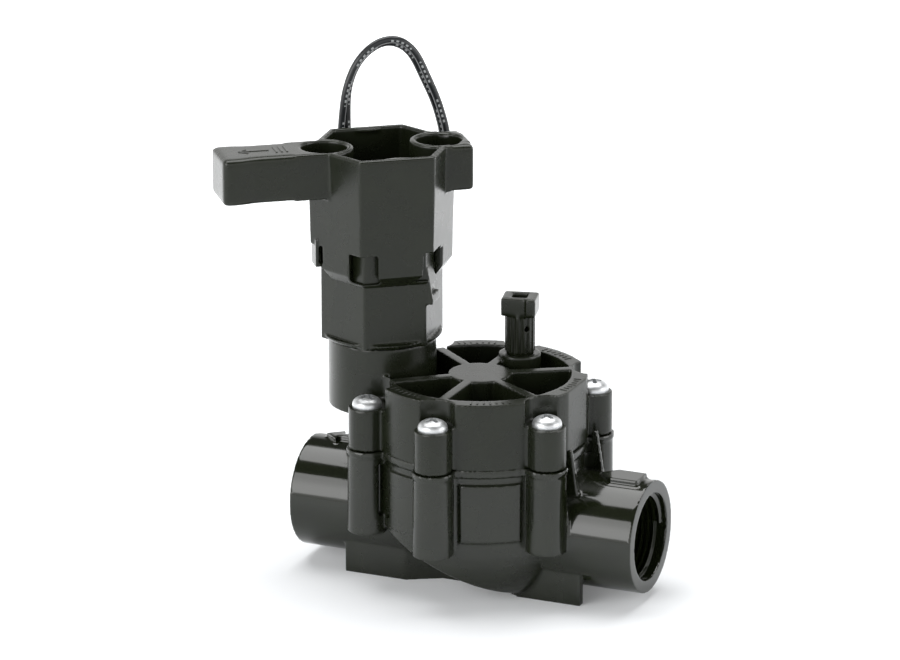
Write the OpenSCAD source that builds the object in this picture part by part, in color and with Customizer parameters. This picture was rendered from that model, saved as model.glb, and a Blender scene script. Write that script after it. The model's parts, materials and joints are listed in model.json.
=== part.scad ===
/* [Ports] */
// Distance from one port face to the other
length = 111; // [106:1:118]
// Height of the port axis above the base
port_z = 20; // [19:0.5:22]
// Outside radius of each port
port_r = 17.1; // [16:0.1:18.5]
// Wall radius of the threaded mouths, for three-quarter inch pipe
thread_r = 13.2; // [12:0.1:14]
// Depth of the threaded mouths
thread_depth = 16.5; // [14:0.5:18]
// Radius of the waterway behind the threads
bore_r = 11.5; // [8:0.5:12]

/* [Valve body] */
// Height of the plane where body and bonnet meet
part_z = 44; // [43:0.5:48]
// Outside radius of the barrel and its raised panels
barrel_r = 32.4; // [32:0.1:34]
// Depth of the grooves beside the raised panels
panel_step = 0.8; // [0.3:0.1:1.2]
// Height where the bowl turns into the barrel
bowl_top_z = 19; // [15:0.5:22]
// Radius of the flat under the bowl
bowl_flat_r = 19; // [12:0.5:22]
// Radius of the round underside, which is deepest on the inlet side
dish_r = 70; // [60:1:90]
// Distance of its deepest point from the bonnet axis
dish_x = 23; // [18:0.5:26]
// Half length of the foot under each port
foot_x = 38.4; // [34:0.2:42]
// Width of the feet
foot_w = 28; // [22:0.5:30]
// Radius of the diaphragm chamber
chamber_r = 25.4; // [24:0.1:26]
// Thickness of the floor under the waterway
floor_t = 4; // [3:0.5:6]
// Distance of the guide ribs from the middle
rib_y = 10; // [8:0.5:11]
// Thickness of the guide ribs
rib_t = 1.6; // [1.4:0.1:3]

/* [Cover screws] */
// Angle of the screws beside the inlet port
inlet_screw_a = 32; // [28:1:34]
// Angle of the screws beside the solenoid
solenoid_screw_a = 140; // [137:1:143]
// Distance of the screws outside the barrel
screw_out = 2.7; // [2:0.1:4]
// Radius of the screw bosses on the body
boss_r = 5.9; // [5:0.1:6.4]
// Radius of the screw shanks
screw_r = 2.1; // [1.6:0.1:2.4]
// Radius of the screw heads
screw_head_r = 4.7; // [3.8:0.1:5]
// Height of the screw heads
screw_head_h = 3.3; // [2:0.1:4]
// Length of the screws under the head
screw_len = 30; // [24:1:34]

/* [Bonnet] */
// Height of the bonnet rim above the parting plane
bonnet_h = 20.3; // [19:0.1:23]
// Height of the bonnet bosses above the parting plane
bonnet_boss_h = 13; // [11:0.5:15]
// Width of the flat top of the rim
rim_w = 5; // [3.5:0.1:6]
// Radius of the hub in the middle
hub_r = 9.5; // [9:0.1:11]
// Width of the spokes
spoke_w = 3; // [2:0.1:4]
// Thickness of the bonnet roof under the pockets
roof_t = 3; // [2.5:0.1:3.5]
// Distance of the flat on each end of the bonnet from its axis
flat_x = 31.6; // [31:0.1:33]

/* [Solenoid] */
// Distance of the solenoid axis from the bonnet axis
solenoid_x = 32; // [31:0.5:34]
// Radius of the round boss that holds the solenoid
socket_r = 16.3; // [15.5:0.1:16.8]
// Height of that boss above the bonnet rim
socket_rise = 7.9; // [7:0.1:10]
// Length of that boss
socket_h = 21; // [19:0.5:23]
// Corner radius of the hexagonal solenoid housing
housing_r = 18.85; // [18.4:0.05:19.2]
// Height of the housing above its socket
housing_h = 42.7; // [40:0.1:46]
// Radius of the coil space in the housing
coil_space_r = 14.5; // [13:0.1:14.8]
// Radius of the plunger
plunger_r = 5; // [4:0.1:5.4]
// Travel of the plunger
plunger_lift = 2; // [1:0.1:2.5]

/* [Handle] */
// Direction of the handle, from the inlet side
handle_a = 218; // [210:1:226]
// Thickness of the sleeve's corners where its skirt begins
sleeve_t = 2.95; // [2.2:0.05:3.6]
// How much narrower the sleeve is where its skirt begins
sleeve_draft = 0.85; // [0.2:0.05:1.2]
// Height of the cup and the handle
cup_h = 14.2; // [11:0.2:17]
// Thickness of the cup floor
cup_floor_t = 3; // [2:0.1:4]
// Reach of the handle from the solenoid axis
handle_reach = 50; // [46:0.5:58]
// Wall of the handle beside its socket
handle_side = 1.2; // [1:0.1:2]
// Wall of the lug beside its socket
lug_side = 2.4; // [1.6:0.1:3]
// Wall of the lug beyond its socket
lug_end = 1.8; // [1.6:0.1:4]
// Radius of the round sockets in handle and lug
eye_r = 6.8; // [5:0.1:7]
// Distance of these sockets from the solenoid axis
eye_x = 17.6; // [17:0.1:18]
// Wall round these sockets and the cup
sleeve_wall = 2; // [1.5:0.1:2.2]

/* [Bleed screw] */
// Place of the bleed screw along the flow
bleed_x = 5; // [5:0.1:7]
// Place of the bleed screw across the flow
bleed_y = 19; // [18.5:0.1:19.5]
// Radius of the collar that holds it
bleed_collar_r = 6.4; // [5.8:0.1:7]
// Height of the collar above the rim
bleed_collar_h = 1.5; // [0.5:0.1:3]
// Radius of its threaded shank
bleed_r = 3.93; // [3.6:0.01:4]
// Length of its ribbed stem
bleed_stem = 12; // [9:0.5:15]
// Width of its key head
bleed_head_w = 10.6; // [9:0.2:13]
// Height of its key head
bleed_head_h = 5.8; // [4:0.1:8]

/* [Diaphragm] */
// Radius of the main seat
seat_r = 11; // [9.5:0.1:12]
// Thickness of the rubber at the seat
rubber_t = 2.2; // [1.6:0.1:3]
// Travel of the diaphragm
diaphragm_lift = 5; // [3:0.5:6]
// Wire diameter of the diaphragm spring
spring_wire = 1.1; // [0.8:0.1:1.2]

/* [Leads] */
// Diameter of each lead
lead_d = 2.2; // [1.8:0.1:2.4]
// Turns in each layer of a coiled lead
coil_turns = 2; // [1:1:3]
// Length of bare conductor at the end of each lead
bare_len = 8; // [5:0.5:12]

/* [Hidden] */
$fn = 64;
// Clearance between pieces that stand still to each other
slip = 0.1;
// Radial clearance of a turning or sliding fit
run = 0.05;
// How far a cut runs past the face it opens
over = 1;

// Heights of the bonnet
rim_z = part_z + bonnet_h;
boss_top_z = part_z + bonnet_boss_h;
rim_in_r = barrel_r - rim_w;
ledge_h = 1.2;
ledge_w = 1.4;
ledge_len = 7;
ledge_in = 3.2;

// Screws
screw_ring_r = barrel_r + screw_out;
inlet_ring_in = 0.4;
inlet_ring_r = screw_ring_r - inlet_ring_in;
screw_angles = [inlet_screw_a, 90, solenoid_screw_a, -solenoid_screw_a, -90, -inlet_screw_a];
boss_bottom_z = 18;
boss_lip = 0.4;
boss_inset = 0.3;
boss_relief = 0.2;
boss_lip_h = 1.5;
boss_draft = 0.2;
bonnet_boss_r = boss_r - boss_inset;
screw_pilot_r = screw_r + run;
screw_play = 0.4;
screw_hole_r = screw_r + screw_play;
head_clear = 1.8;
side_clear = 3.1;

front_a = (inlet_screw_a + 90) / 2;
side_a = (90 + solenoid_screw_a) / 2;
ledge_angles = [0, -front_a, side_a, -side_a];

// Body
port_face = length / 2;
port_cut_x = port_face - thread_depth - slip;
barrel_in_r = barrel_r - panel_step;
flange_h = 2.2;
panel_gap_a = 12.5;
panel_top_gap = 2.6;
panel_bottom_gap = 2.4;
foot_h = 11;
foot_in_x = 8.3;
foot_turn_x = 18.6;
foot_wall = 3;
keel_w = 16;
rib_top = 3.4;
rib_drop = 4;
rib_root = 3;
rib_gap = 0.1;
rib_tip_t = 1.6;
rib_toe_t = 3.8;
rib_front_x = barrel_r + rib_gap;
rib_tip_x = rib_front_x + rib_tip_t;
rib_toe_x = rib_front_x + rib_toe_t;
rib_back_x = barrel_in_r - over;
mark_len = 13.2;
mark_w = 8.5;
mark_h = 1.2;
mark_gap = 3;
arrow_gap = 4.9;
arrow_len = 4.6;
arrow_w = 8;
arrow_h = 1.5;
shaft_len = 5;
shaft_w = 3;
seat_wall = 3;
tunnel_wall = 2;
sump_z = port_z - bore_r - 1;
boss_slot_w = 2.2;
boss_slot_h = 16;
boss_slot_z = 24;
boss_slot_in = 3.9;
boss_slot_a = -20;
seat_drop = 3;
seat_z = part_z - seat_drop;
screw_hole_end = 1;
panel_root = 6;
rubber_rim_t = 1.5;
rubber_rim_w = 3.2;
rubber_rim_r = chamber_r + rubber_rim_w;
pilot_r = 0.8;
cross_r = 0.6;
pilot_wall = 0.8;
pilot_drop = 2;
pilot_out_x = rubber_rim_r + pilot_wall + pilot_r;

// Diaphragm stack
plate_t = 2.5;
plate_r = 13;
plate_hub_r = 4.6;
plate_hub_h = 1.6;
guide_t = 2.4;
guide_hub_r = 5;
guide_hub_h = 8;
guide_vane_h = 13;
guide_vane_t = 1.6;
guide_clear = 0.3;
stud_r = 1.8;
stud_head_r = 3.4;
stud_head_h = 1.4;
filter_r = 5.6;
filter_h = 8;
filter_wall = 1;
filter_slots = 10;
filter_slot_w = 0.8;
filter_foot = 2;
filter_head = 1.5;
guide_hole_end = 1.5;
vane_gap = 0.6;
roll_in_r = plate_r + 3;
roll_rise = 3;
roll_steps = 8;
plate_z = seat_z + rubber_t;
roof_gap = 2.3;
roof_z = plate_z + plate_t + diaphragm_lift + roof_gap;
pocket_z = roof_z + roof_t;
spring_z = plate_z + plate_t;
hub_t = 3.3;
spring_top_z = rim_z - hub_t;
spring_play = 0.5;
spring_mid_r = 6;
spring_space_r = spring_mid_r + spring_wire / 2 + spring_play;
diaphragm_turns = 6;

// Solenoid
axis_x = -solenoid_x;
socket_top_z = rim_z + socket_rise;
thread_wall = 3.6;
socket_bore_r = socket_r - thread_wall;
socket_floor_z = pocket_z;
bowl_r = 9.2;
shelf_up = 5;
shelf_z = socket_floor_z + shelf_up;
seal_gap = 0.3;
nozzle_h = 3.6;
nozzle_r = 3.2;
nozzle_z = socket_floor_z + nozzle_h;
nose_up = 2.6;
nose_z = socket_floor_z + nose_up;
nose_r = bowl_r - seal_gap - slip;
oring_r = (socket_bore_r - nose_r) / 2 - seal_gap;
oring_t = 2 * oring_r + 2 * slip;
tube_t = 0.7;
tube_in_r = plunger_r + run;
tube_out_r = tube_in_r + tube_t;
tube_hole_r = tube_out_r + run;
base_gap = 0.4;
base_z = socket_top_z + base_gap;
base_inset = 0.7;
base_r = housing_r - base_inset;
base_h = 1.5;
base_chamfer = 1;
housing_top_z = socket_top_z + housing_h;
coil_z = base_z + 4.6;
seal_t = 2.5;
seal_r = 3.6;
seal_proud = 0.8;
plunger_z = nozzle_z + seal_proud;
plunger_len = 29.6;
plunger_top_z = plunger_z + plunger_len;
pole_gap = 0.2;
pole_z = plunger_top_z + plunger_lift + pole_gap;
pole_cover = 2.8;
pole_top_z = housing_top_z - pole_cover;
keeper_play = 0.8;
keeper_t = 1.4;
washer_t = 1.6;
potting_t = 4;
stack_top_z = housing_top_z - potting_t - slip;
bobbin_z = coil_z + washer_t + slip;
bobbin_top_z = stack_top_z - washer_t - slip;
bobbin_wall = 1.2;
bobbin_flange_t = 1.5;
winding_drop = 0.6;
shell_t = 0.9;
shell_r = coil_space_r - slip;
bobbin_in_r = tube_out_r + slip;
bobbin_out_r = bobbin_in_r + bobbin_wall;
bobbin_flange_r = shell_r - shell_t - slip;
plunger_well_r = 2.6;
plunger_well_h = 12;
plunger_wire = 0.7;
plunger_turns = 7;
spring_side = 0.2;
end_gap = 0.5;

// Handle sleeve
cup_floor_z = housing_top_z + cup_floor_t;
sleeve_top_z = cup_floor_z + cup_h;
handle_z = cup_floor_z;
eye_floor_t = 1.6;
handle_w = 2 * (eye_r + handle_side);
lug_w = 2 * (eye_r + lug_side);
lug_reach = eye_x + eye_r + lug_end;
housing_show = 19.3;
skirt_lip = 0.2;
skirt_z = base_z + housing_show;
skirt_h = 3.6;
skirt_top_z = skirt_z + skirt_h;
skirt_r = housing_r + slip + sleeve_t;
sleeve_r = skirt_r + sleeve_draft;
cup_r = sleeve_r - sleeve_wall / cos(30);
window_w = 9;
window_h = 9;
window_up = 10.6;
window_top_z = skirt_z + window_up;
window_z = window_top_z - window_h;
handle_root = 10;
handle_wall = 2.2;
tip_len = 5;
tip_flare = 1;
loop_w = 6;
loop_t = 1;
loop_h = 7.4;
loop_up = 0.6;
loop_foot = 1.4;
loop_gap = 1;
catch_w = 8;
catch_play = 0.3;
catch_h = 8;
catch_a = 150;
catch_y = -5;
catch_proud = 1.9;
catch_root = 1.2;
catch_up = 3.4;
catch_slope = 9;
catch_nose = 0.2;
catch_web = 1.3;
catch_slot_h = 2.6;
catch_slot_up = 2.8;
housing_flat = housing_r * cos(30);
catch_window_y = -7.7;
catch_hole_r = 1.2;
catch_hole_up = 0.6;
tip_edge = 1;
pad_r = 6.4;
pad_in = 1.4;
pad_t = 1.2;
pad_drop = 0.15;

// Bleed screw
bleed_fit = 0.07;
bleed_bore_r = bleed_r + bleed_fit;
bleed_collar_z = rim_z + bleed_collar_h;
bleed_floor = 1.5;
bleed_seat_z = pocket_z + bleed_floor;
bleed_hole_r = 1.2;
bleed_oring_t = 1.25;
bleed_ring_gap = 0.15;
bleed_neck_r = bleed_bore_r - bleed_oring_t - bleed_ring_gap;
bleed_neck_h = 2.6;
bleed_stem_gap = 0.2;
bleed_stem_z = bleed_collar_z + bleed_stem_gap;
bleed_core_r = bleed_r + slip;
bleed_ribs = 14;
bleed_rib_d = 0.5;
bleed_rib_w = 0.9;
bleed_rib_up = 0.4;
bleed_vent_up = 8;
bleed_vent_a = 51.4;
bleed_vent_r = 0.8;
bleed_tube_r = 1.1;
bleed_vent_z = bleed_stem_z + bleed_vent_up;
bleed_head_z = bleed_stem_z + bleed_stem;
bleed_head_d = 8.6;
bleed_step_w = 3;
bleed_step_d = 0.8;
bleed_key_w = 4.4;
bleed_key_h = 3;
bleed_head_a = 14;

// Leads: places are along the back of the sleeve, out from the solenoid axis, and up
lead_r = lead_d / 2;
lead_out = 22.7;
lead_mid = -5.9;
gland_drop = 2.9;
gland_z = housing_top_z - gland_drop;
gland_r = 2.9;
gland_lip = 0.4;
gland_lip_h = 1.5;
gland_nose_h = 3.5;
gland_plug_h = 7;
gland_floor = 1;
gland_taper = 0.3;
gland_root = 6;
gland_low_z = gland_z - gland_nose_h - gland_lip_h - gland_plug_h;
gland_block_w = 8.6;
gland_block_out = 26.7;
coil_y = 60;
coil_a_x = -15;
coil_b_x = -53;
coil_r = 15.2;
turn_gap = 0.7;
layer_gap = 0.5;
coil_step = lead_d + turn_gap;
coil_layer = lead_d + layer_gap;
tie_t = 0.6;
tie_w = 3;
tie_gap = 0.4;
tie_lift = 0.15;
coil_z0 = tie_t + tie_lift + lead_r;
bare_r = 0.6;
lead_a_loop = [[-7.2, lead_out, 112], [-7.2, lead_out, 116], [-7.2, lead_out, 121], [-6.9, lead_out, 132],
               [-5.4, lead_out, 143], [-1.8, lead_out, 151.4], [4, lead_out, 156.6],
               [10.4, lead_out, 157.4], [15.8, lead_out, 153.4], [20, lead_out, 145],
               [23.6, lead_out, 136], [26, lead_out, 126], [26.2, lead_out, 115],
               [23, lead_out, 103], [17, 24, 88], [13, 26, 70], [12, 28, 48], [12.6, 29, 26]];
lead_b_loop = [[-4.6, lead_out, 112], [-4.6, lead_out, 116], [-4.6, lead_out, 121], [-4.8, 24, 132],
               [-4.1, 25, 142.6], [-0.9, 25.3, 150.4], [4.6, 25.3, 155.2], [10.2, 25.3, 155.8],
               [15.2, 25.3, 152.2], [19.3, 25.3, 144.2], [23, 25.3, 135.4], [25.3, 25.3, 125.6],
               [25.4, 25.3, 114.6], [22, 25.5, 102.6], [15.2, 26.9, 87], [10, 29, 70],
               [8, 31, 48], [8, 32, 26]];
lead_a_floor = [[-37, 32.6, 9], [-33.4, 41, coil_z0]];
lead_b_floor = [[-43, 34, 9], [-40, 42, coil_z0]];
lead_steps = 2;
coil_rings = 24;
coil_sides = 6;
lead_sides = 8;
spring_rings = 8;

// Colours
black_plastic = "#2b2c2b";
grey_rubber = "#3a3a38";
steel = "#b9bcc0";
copper = "#b26a3c";
lead_black = "#1d1e1f";

// Direction without length
function unit(v) = v / norm(v);

// Part of a direction that is square to another
function square_to(v, d) = unit(v - (v * d) * d);

// Any direction square to the given one
function any_side(d) = square_to(abs(d.z) < 0.9 ? [0, 0, 1] : [1, 0, 0], d);

// Directions along a row of points
function headings(p) =
    [for (i = [0 : len(p) - 1]) unit(p[min(i + 1, len(p) - 1)] - p[max(i - 1, 0)])];

// Sides carried along the directions without twist
function carried(d) =
    [for (i = 0, s = any_side(d[0]); i < len(d); s = square_to(s, d[min(i + 1, len(d) - 1)]), i = i + 1) s];

// Smooth curve through hand-placed points, with extra points between them
function between(a, b, c, d, t) =
    0.5 * (2 * b + (c - a) * t + (2 * a - 5 * b + 4 * c - d) * t ^ 2 + (3 * b - a - 3 * c + d) * t ^ 3);
function smooth(p, steps) =
    let (n = len(p) - 1)
    concat([for (i = [0 : n - 1], k = [0 : steps - 1])
        between(p[max(i - 1, 0)], p[i], p[i + 1], p[min(i + 2, n)], k / steps)], [p[n]]);

// Least distance of a tube's surface from itself, apart from near neighbours
function least_gap(p, d, skip) =
    min([for (i = [0 : len(p) - 2 - skip], j = [i + skip + 1 : len(p) - 1]) norm(p[i] - p[j])]) - d;

// Length along a row of points
function run_length(p) = sum_to(p, len(p) - 1);
function sum_to(p, i) = i == 0 ? 0 : norm(p[i] - p[i - 1]) + sum_to(p, i - 1);

// Round tube along a row of points
module tube(p, r, sides) {
    d = headings(p);
    s = carried(d);
    last = len(p) - 1;
    rings = [for (i = [0 : last], k = [0 : sides - 1])
        p[i] + r * (cos(360 * k / sides) * s[i] + sin(360 * k / sides) * cross(d[i], s[i]))];
    walls = [for (i = [0 : last - 1], k = [0 : sides - 1])
        let (a = i * sides + k, b = i * sides + (k + 1) % sides)
        each [[a, b + sides, b], [a, a + sides, b + sides]]];
    caps = [for (k = [1 : sides - 2])
        each [[0, k, k + 1], [last * sides, last * sides + k + 1, last * sides + k]]];
    polyhedron(rings, concat(walls, caps));
}

// Compression spring standing on z, with flat-lying end turns
function spring_path(z, top, mid_r, wire, turns) =
    let (n = turns * spring_rings, low = z + wire / 2, high = top - wire / 2,
         flat = (wire + end_gap) / (high - low))
    [for (i = [0 : n])
        let (a = 360 * i / spring_rings, u = i / n)
        [mid_r * cos(a), mid_r * sin(a), low + (high - low) * spring_rise(u, 1 / turns, flat)]];

// Share of the height reached along a spring whose first and last turns rise slowly
function spring_rise(u, end, flat) =
    u < end ? flat * u / end :
    u > 1 - end ? 1 - flat * (1 - u) / end :
    flat + (1 - 2 * flat) * (u - end) / (1 - 2 * end);

// Place given along the back of the sleeve, out from the solenoid axis, and up
function back_place(p) =
    let (a = handle_a - 90)
    [axis_x + p.x * sin(a) + p.y * cos(a), -p.x * cos(a) + p.y * sin(a), p.z];

// Coil of a lead: two layers that spiral in, climb in half a turn, and spiral out
function coil_point(cx, hand, u) =
    let (back = coil_turns + 0.25, r = coil_r - coil_step * (back - abs(back - u)),
         a = hand * (90 - 360 * u) + 90,
         climb = min(1, max(0, (u - coil_turns) * 2)))
    [cx + r * cos(a), coil_y + r * sin(a), coil_z0 + coil_layer * climb ^ 2 * (3 - 2 * climb)];
function coil_path(cx, hand) =
    let (n = coil_rings * (2 * coil_turns + 0.5), first = coil_point(cx, hand, 0),
         last = coil_point(cx, hand, n / coil_rings))
    concat([first - [0, lead_d, 0]], [for (i = [0 : n]) coil_point(cx, hand, i / coil_rings)],
           [last - [0, lead_d, 0]]);
lead_a_turns = coil_path(coil_a_x, 1);
lead_b_turns = coil_path(coil_b_x, -1);
function lead_route(loop, floor_points, turns) =
    smooth(concat([for (p = loop) back_place(p)], floor_points, [turns[0]]), lead_steps);
lead_a_route = lead_route(lead_a_loop, lead_a_floor, lead_a_turns);
lead_b_route = lead_route(lead_b_loop, lead_b_floor, lead_b_turns);
main_spring = spring_path(spring_z, spring_top_z, spring_mid_r, spring_wire, diaphragm_turns);
core_spring_r = plunger_well_r - plunger_wire / 2 - spring_side;
core_spring = spring_path(plunger_top_z - plunger_well_h, pole_z, core_spring_r, plunger_wire, plunger_turns);
union() {
    echo(lead_a_coil_gap = least_gap(lead_a_turns, lead_d, coil_rings / 2));
    echo(lead_b_coil_gap = least_gap(lead_b_turns, lead_d, coil_rings / 2));
    echo(diaphragm_spring_gap = least_gap(main_spring, spring_wire, spring_rings / 2));
    echo(plunger_spring_gap = least_gap(core_spring, plunger_wire, spring_rings / 2));
    echo(lead_a_length = run_length(lead_a_route) + run_length(lead_a_turns) + bare_len);
    echo(lead_b_length = run_length(lead_b_route) + run_length(lead_b_turns) + bare_len);
}

// Distance of a cover screw from the bonnet axis
function ring_r(a) = abs(a) == inlet_screw_a ? inlet_ring_r : screw_ring_r;

// Puts its children at every cover screw
module at_screws() {
    for (a = screw_angles) rotate([0, 0, a]) translate([ring_r(a), 0, 0]) children();
}

// Puts its children on the solenoid axis, with the handle along +X
module on_handle() {
    translate([axis_x, 0, 0]) rotate([0, 0, handle_a]) children();
}

// Hexagonal bar or taper with a corner towards +X
module hexagon(z, h, r1, r2) {
    translate([0, 0, z]) cylinder(h = h, r1 = r1, r2 = r2, $fn = 6);
}

// Ring with a square section
module ring(z, h, r_in, r_out) {
    translate([0, 0, z]) rotate_extrude() translate([r_in, 0]) square([r_out - r_in, h]);
}

// Round bar
module bar(z, h, r) {
    translate([0, 0, z]) cylinder(h = h, r = r);
}

// Round bar lying along X
module bar_x(x, len, z, r) {
    translate([x, 0, z]) rotate([0, 90, 0]) cylinder(h = len, r = r);
}

// Bowl under the barrel, as half of its section
module bowl() {
    steps = 10;
    spread = barrel_in_r - bowl_flat_r;
    wall = [for (i = [0 : steps]) let (a = 90 * i / steps)
        [bowl_flat_r + spread * sin(a), bowl_top_z * (1 - cos(a))]];
    rotate_extrude($fn = 96) polygon(concat([[0, 0]], wall, [[0, bowl_top_z]]));
}

// Round underside of the body, grown inwards by a wall
module dish(wall) {
    translate([dish_x, 0, dish_r]) sphere(r = dish_r - wall, $fn = 128);
}

// Raised panels on the barrel between neighbouring screws
module panels() {
    low = bowl_top_z + panel_bottom_gap;
    high = part_z - flange_h - panel_top_gap;
    for (s = [1, -1], pair = [[inlet_screw_a, 90], [90, solenoid_screw_a]]) {
        first = pair[0] + panel_gap_a;
        sweep = pair[1] - pair[0] - 2 * panel_gap_a;
        rotate([0, 0, s > 0 ? first : -first - sweep])
            rotate_extrude(angle = sweep, $fn = 96)
                translate([barrel_r - panel_root, low]) square([panel_root, high - low]);
    }
}

// Thin guide rib that stands on a port beside the bonnet's flat
module guide_rib() {
    rotate([90, 0, 0]) translate([0, 0, -rib_t / 2]) linear_extrude(rib_t)
        polygon([[rib_back_x, port_z], [rib_back_x, part_z - rib_drop], [rib_front_x, part_z - rib_drop],
                 [rib_front_x, part_z + rib_top], [rib_tip_x, part_z + rib_top],
                 [rib_toe_x, port_z + port_r - rib_root], [rib_toe_x, port_z]]);
}

// Foot under one port, with a wall on each side and open at its outer end
module foot() {
    half = foot_w / 2;
    difference() {
        linear_extrude(foot_h)
            polygon([[-over, -keel_w / 2], [foot_in_x, -keel_w / 2], [foot_turn_x, -half], [foot_x, -half],
                     [foot_x, half], [foot_turn_x, half], [foot_in_x, keel_w / 2], [-over, keel_w / 2]]);
        translate([foot_turn_x + foot_wall, foot_wall - half, -over])
            cube([foot_x, foot_w - 2 * foot_wall, foot_h + 2 * over]);
    }
}

// Threaded end of one port, from the body to the port face
module port_wall() {
    bar_x(port_cut_x, port_face - port_cut_x, port_z, port_r, $fn = 96);
}

// Way through that end
module port_way() {
    bar_x(port_cut_x - over, length, port_z, bore_r);
    bar_x(port_face - thread_depth, length, port_z, thread_r);
}

// Raised arrow on the inlet port that shows the way of the flow
module flow_mark() {
    tip = port_face - mark_gap - mark_len;
    translate([0, 0, port_z]) linear_extrude(port_r + mark_h)
        polygon([[tip, 0], [tip + mark_w / 2, mark_w / 2], [tip + mark_len, mark_w / 2],
                 [tip + mark_len, -mark_w / 2], [tip + mark_w / 2, -mark_w / 2]]);
}

// Raised arrow on the outlet port that points out of it
module out_mark() {
    tip = port_face - arrow_gap;
    neck = tip - arrow_len;
    tail = neck - shaft_len;
    translate([0, 0, port_z]) linear_extrude(port_r + arrow_h)
        polygon([[tip, 0], [neck, arrow_w / 2], [neck, shaft_w / 2], [tail, shaft_w / 2],
                 [tail, -shaft_w / 2], [neck, -shaft_w / 2], [neck, -arrow_w / 2]]);
}

module valve_body() color(black_plastic) {
    difference() {
        union() {
            difference() {
                union() {
                    intersection() {
                        union() {
                            bowl();
                            bar(bowl_top_z, part_z - bowl_top_z, barrel_in_r, $fn = 96);
                            panels();
                        }
                        dish(0);
                    }
                    bar(part_z - flange_h, flange_h, barrel_r, $fn = 96);
                    at_screws() {
                        translate([0, 0, boss_bottom_z])
                            cylinder(h = part_z - boss_bottom_z, r1 = boss_r + boss_draft, r2 = boss_r);
                        bar(part_z - boss_lip_h, boss_lip_h, boss_r + boss_lip);
                    }
                    bar_x(-port_cut_x, 2 * port_cut_x, port_z, port_r, $fn = 96);
                    for (s = [0, 180]) rotate([0, 0, s]) foot();
                    for (s = [0, 180], y = [-rib_y, rib_y])
                        rotate([0, 0, s]) translate([0, y, 0]) guide_rib();
                }
                intersection() {
                    bar(sump_z, part_z, chamber_r);
                    dish(floor_t);
                }
            }
            intersection() {
                union() {
                    bar(sump_z - over, seat_z - sump_z + over, seat_r + seat_wall);
                    bar_x(0, chamber_r + over, port_z, bore_r + tunnel_wall);
                }
                dish(over);
            }
        }
        intersection() {
            bar(sump_z, part_z, seat_r);
            dish(floor_t);
        }
        bar_x(0, port_face + over, port_z, bore_r);
        bar_x(-port_face - over, port_face + over - seat_r - seat_wall - tunnel_wall, port_z, bore_r);
        bar(part_z - rubber_rim_t, rubber_rim_t + over, rubber_rim_r);
        translate([-pilot_out_x, 0, 0]) bar(port_z, part_z, pilot_r);
        at_screws() bar(boss_top_z - screw_len - screw_hole_end, part_z, screw_pilot_r);
        for (s = [1, -1]) rotate([0, 0, -s * solenoid_screw_a]) translate([screw_ring_r, 0, 0])
            rotate([0, 0, s * (solenoid_screw_a + boss_slot_a)])
                translate([boss_slot_in, -boss_slot_w / 2, boss_slot_z])
                    cube([boss_r, boss_slot_w, boss_slot_h]);
    }
}

module inlet_port() color(black_plastic) difference() {
    union() {
        port_wall();
        flow_mark();
    }
    port_way();
}

module outlet_port() color(black_plastic) rotate([0, 0, 180]) difference() {
    union() {
        port_wall();
        out_mark();
    }
    port_way();
}

// Radius kept free above a screw head at this angle
function head_room(a) = screw_head_r + (abs(a) == solenoid_screw_a ? side_clear : head_clear);

// Outline of the pockets between the spokes
module pocket_plan() {
    difference() {
        circle(r = rim_in_r, $fn = 96);
        circle(r = hub_r);
        for (a = screw_angles) rotate([0, 0, a]) translate([0, -spoke_w / 2]) square([barrel_r, spoke_w]);
        translate([axis_x, 0]) circle(r = socket_r);
        translate([bleed_x, bleed_y]) circle(r = bleed_collar_r);
    }
}

module bonnet() color(black_plastic) {
    difference() {
        union() {
            difference() {
                union() {
                    translate([0, 0, part_z]) cylinder(h = bonnet_h, r = barrel_r, $fn = 96);
                    at_screws() bar(part_z + boss_relief, bonnet_boss_h - boss_relief, bonnet_boss_r);
                }
                for (a = screw_angles) rotate([0, 0, a]) translate([ring_r(a), 0, 0])
                    bar(boss_top_z, rim_z, head_room(a));
                for (s = [0, 180]) rotate([0, 0, s])
                    translate([flat_x, -rib_y, part_z - over]) cube([barrel_r, 2 * rib_y, rim_z]);
                translate([0, 0, pocket_z]) linear_extrude(rim_z) pocket_plan();
            }
            for (a = ledge_angles) rotate([0, 0, a])
                translate([rim_in_r - ledge_in, -ledge_len / 2, pocket_z - over])
                    cube([ledge_w, ledge_len, ledge_h + over]);
            translate([axis_x, 0, 0]) bar(socket_top_z - socket_h, socket_h, socket_r, $fn = 96);
            translate([bleed_x, bleed_y, 0]) bar(roof_z, bleed_collar_z - roof_z, bleed_collar_r);
        }
        bar(part_z - over, roof_z - part_z + over, chamber_r, $fn = 96);
        bar(roof_z - over, spring_top_z - roof_z + over, spring_space_r);
        at_screws() bar(part_z - over, boss_top_z, screw_hole_r);
        translate([axis_x, 0, 0]) {
            bar(shelf_z, socket_top_z, socket_bore_r, $fn = 96);
            difference() {
                bar(socket_floor_z, shelf_z, bowl_r);
                bar(socket_floor_z - over, nozzle_h + over, nozzle_r);
            }
            bar(socket_floor_z - pilot_drop - 2 * cross_r, socket_h, pilot_r);
            bar_x(0, solenoid_x - pilot_out_x, socket_floor_z - pilot_drop, cross_r);
            translate([bowl_r - 2 * pilot_r, 0, 0]) bar(roof_z - over, roof_t + 2 * over, pilot_r);
        }
        translate([-pilot_out_x, 0, 0])
            bar(part_z - over, socket_floor_z - pilot_drop + 2 * cross_r - part_z + over, pilot_r);
        translate([bleed_x, bleed_y, 0]) {
            bar(bleed_seat_z, rim_z, bleed_bore_r);
            bar(roof_z - over, rim_z - roof_z, bleed_hole_r);
        }
    }
}

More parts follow.
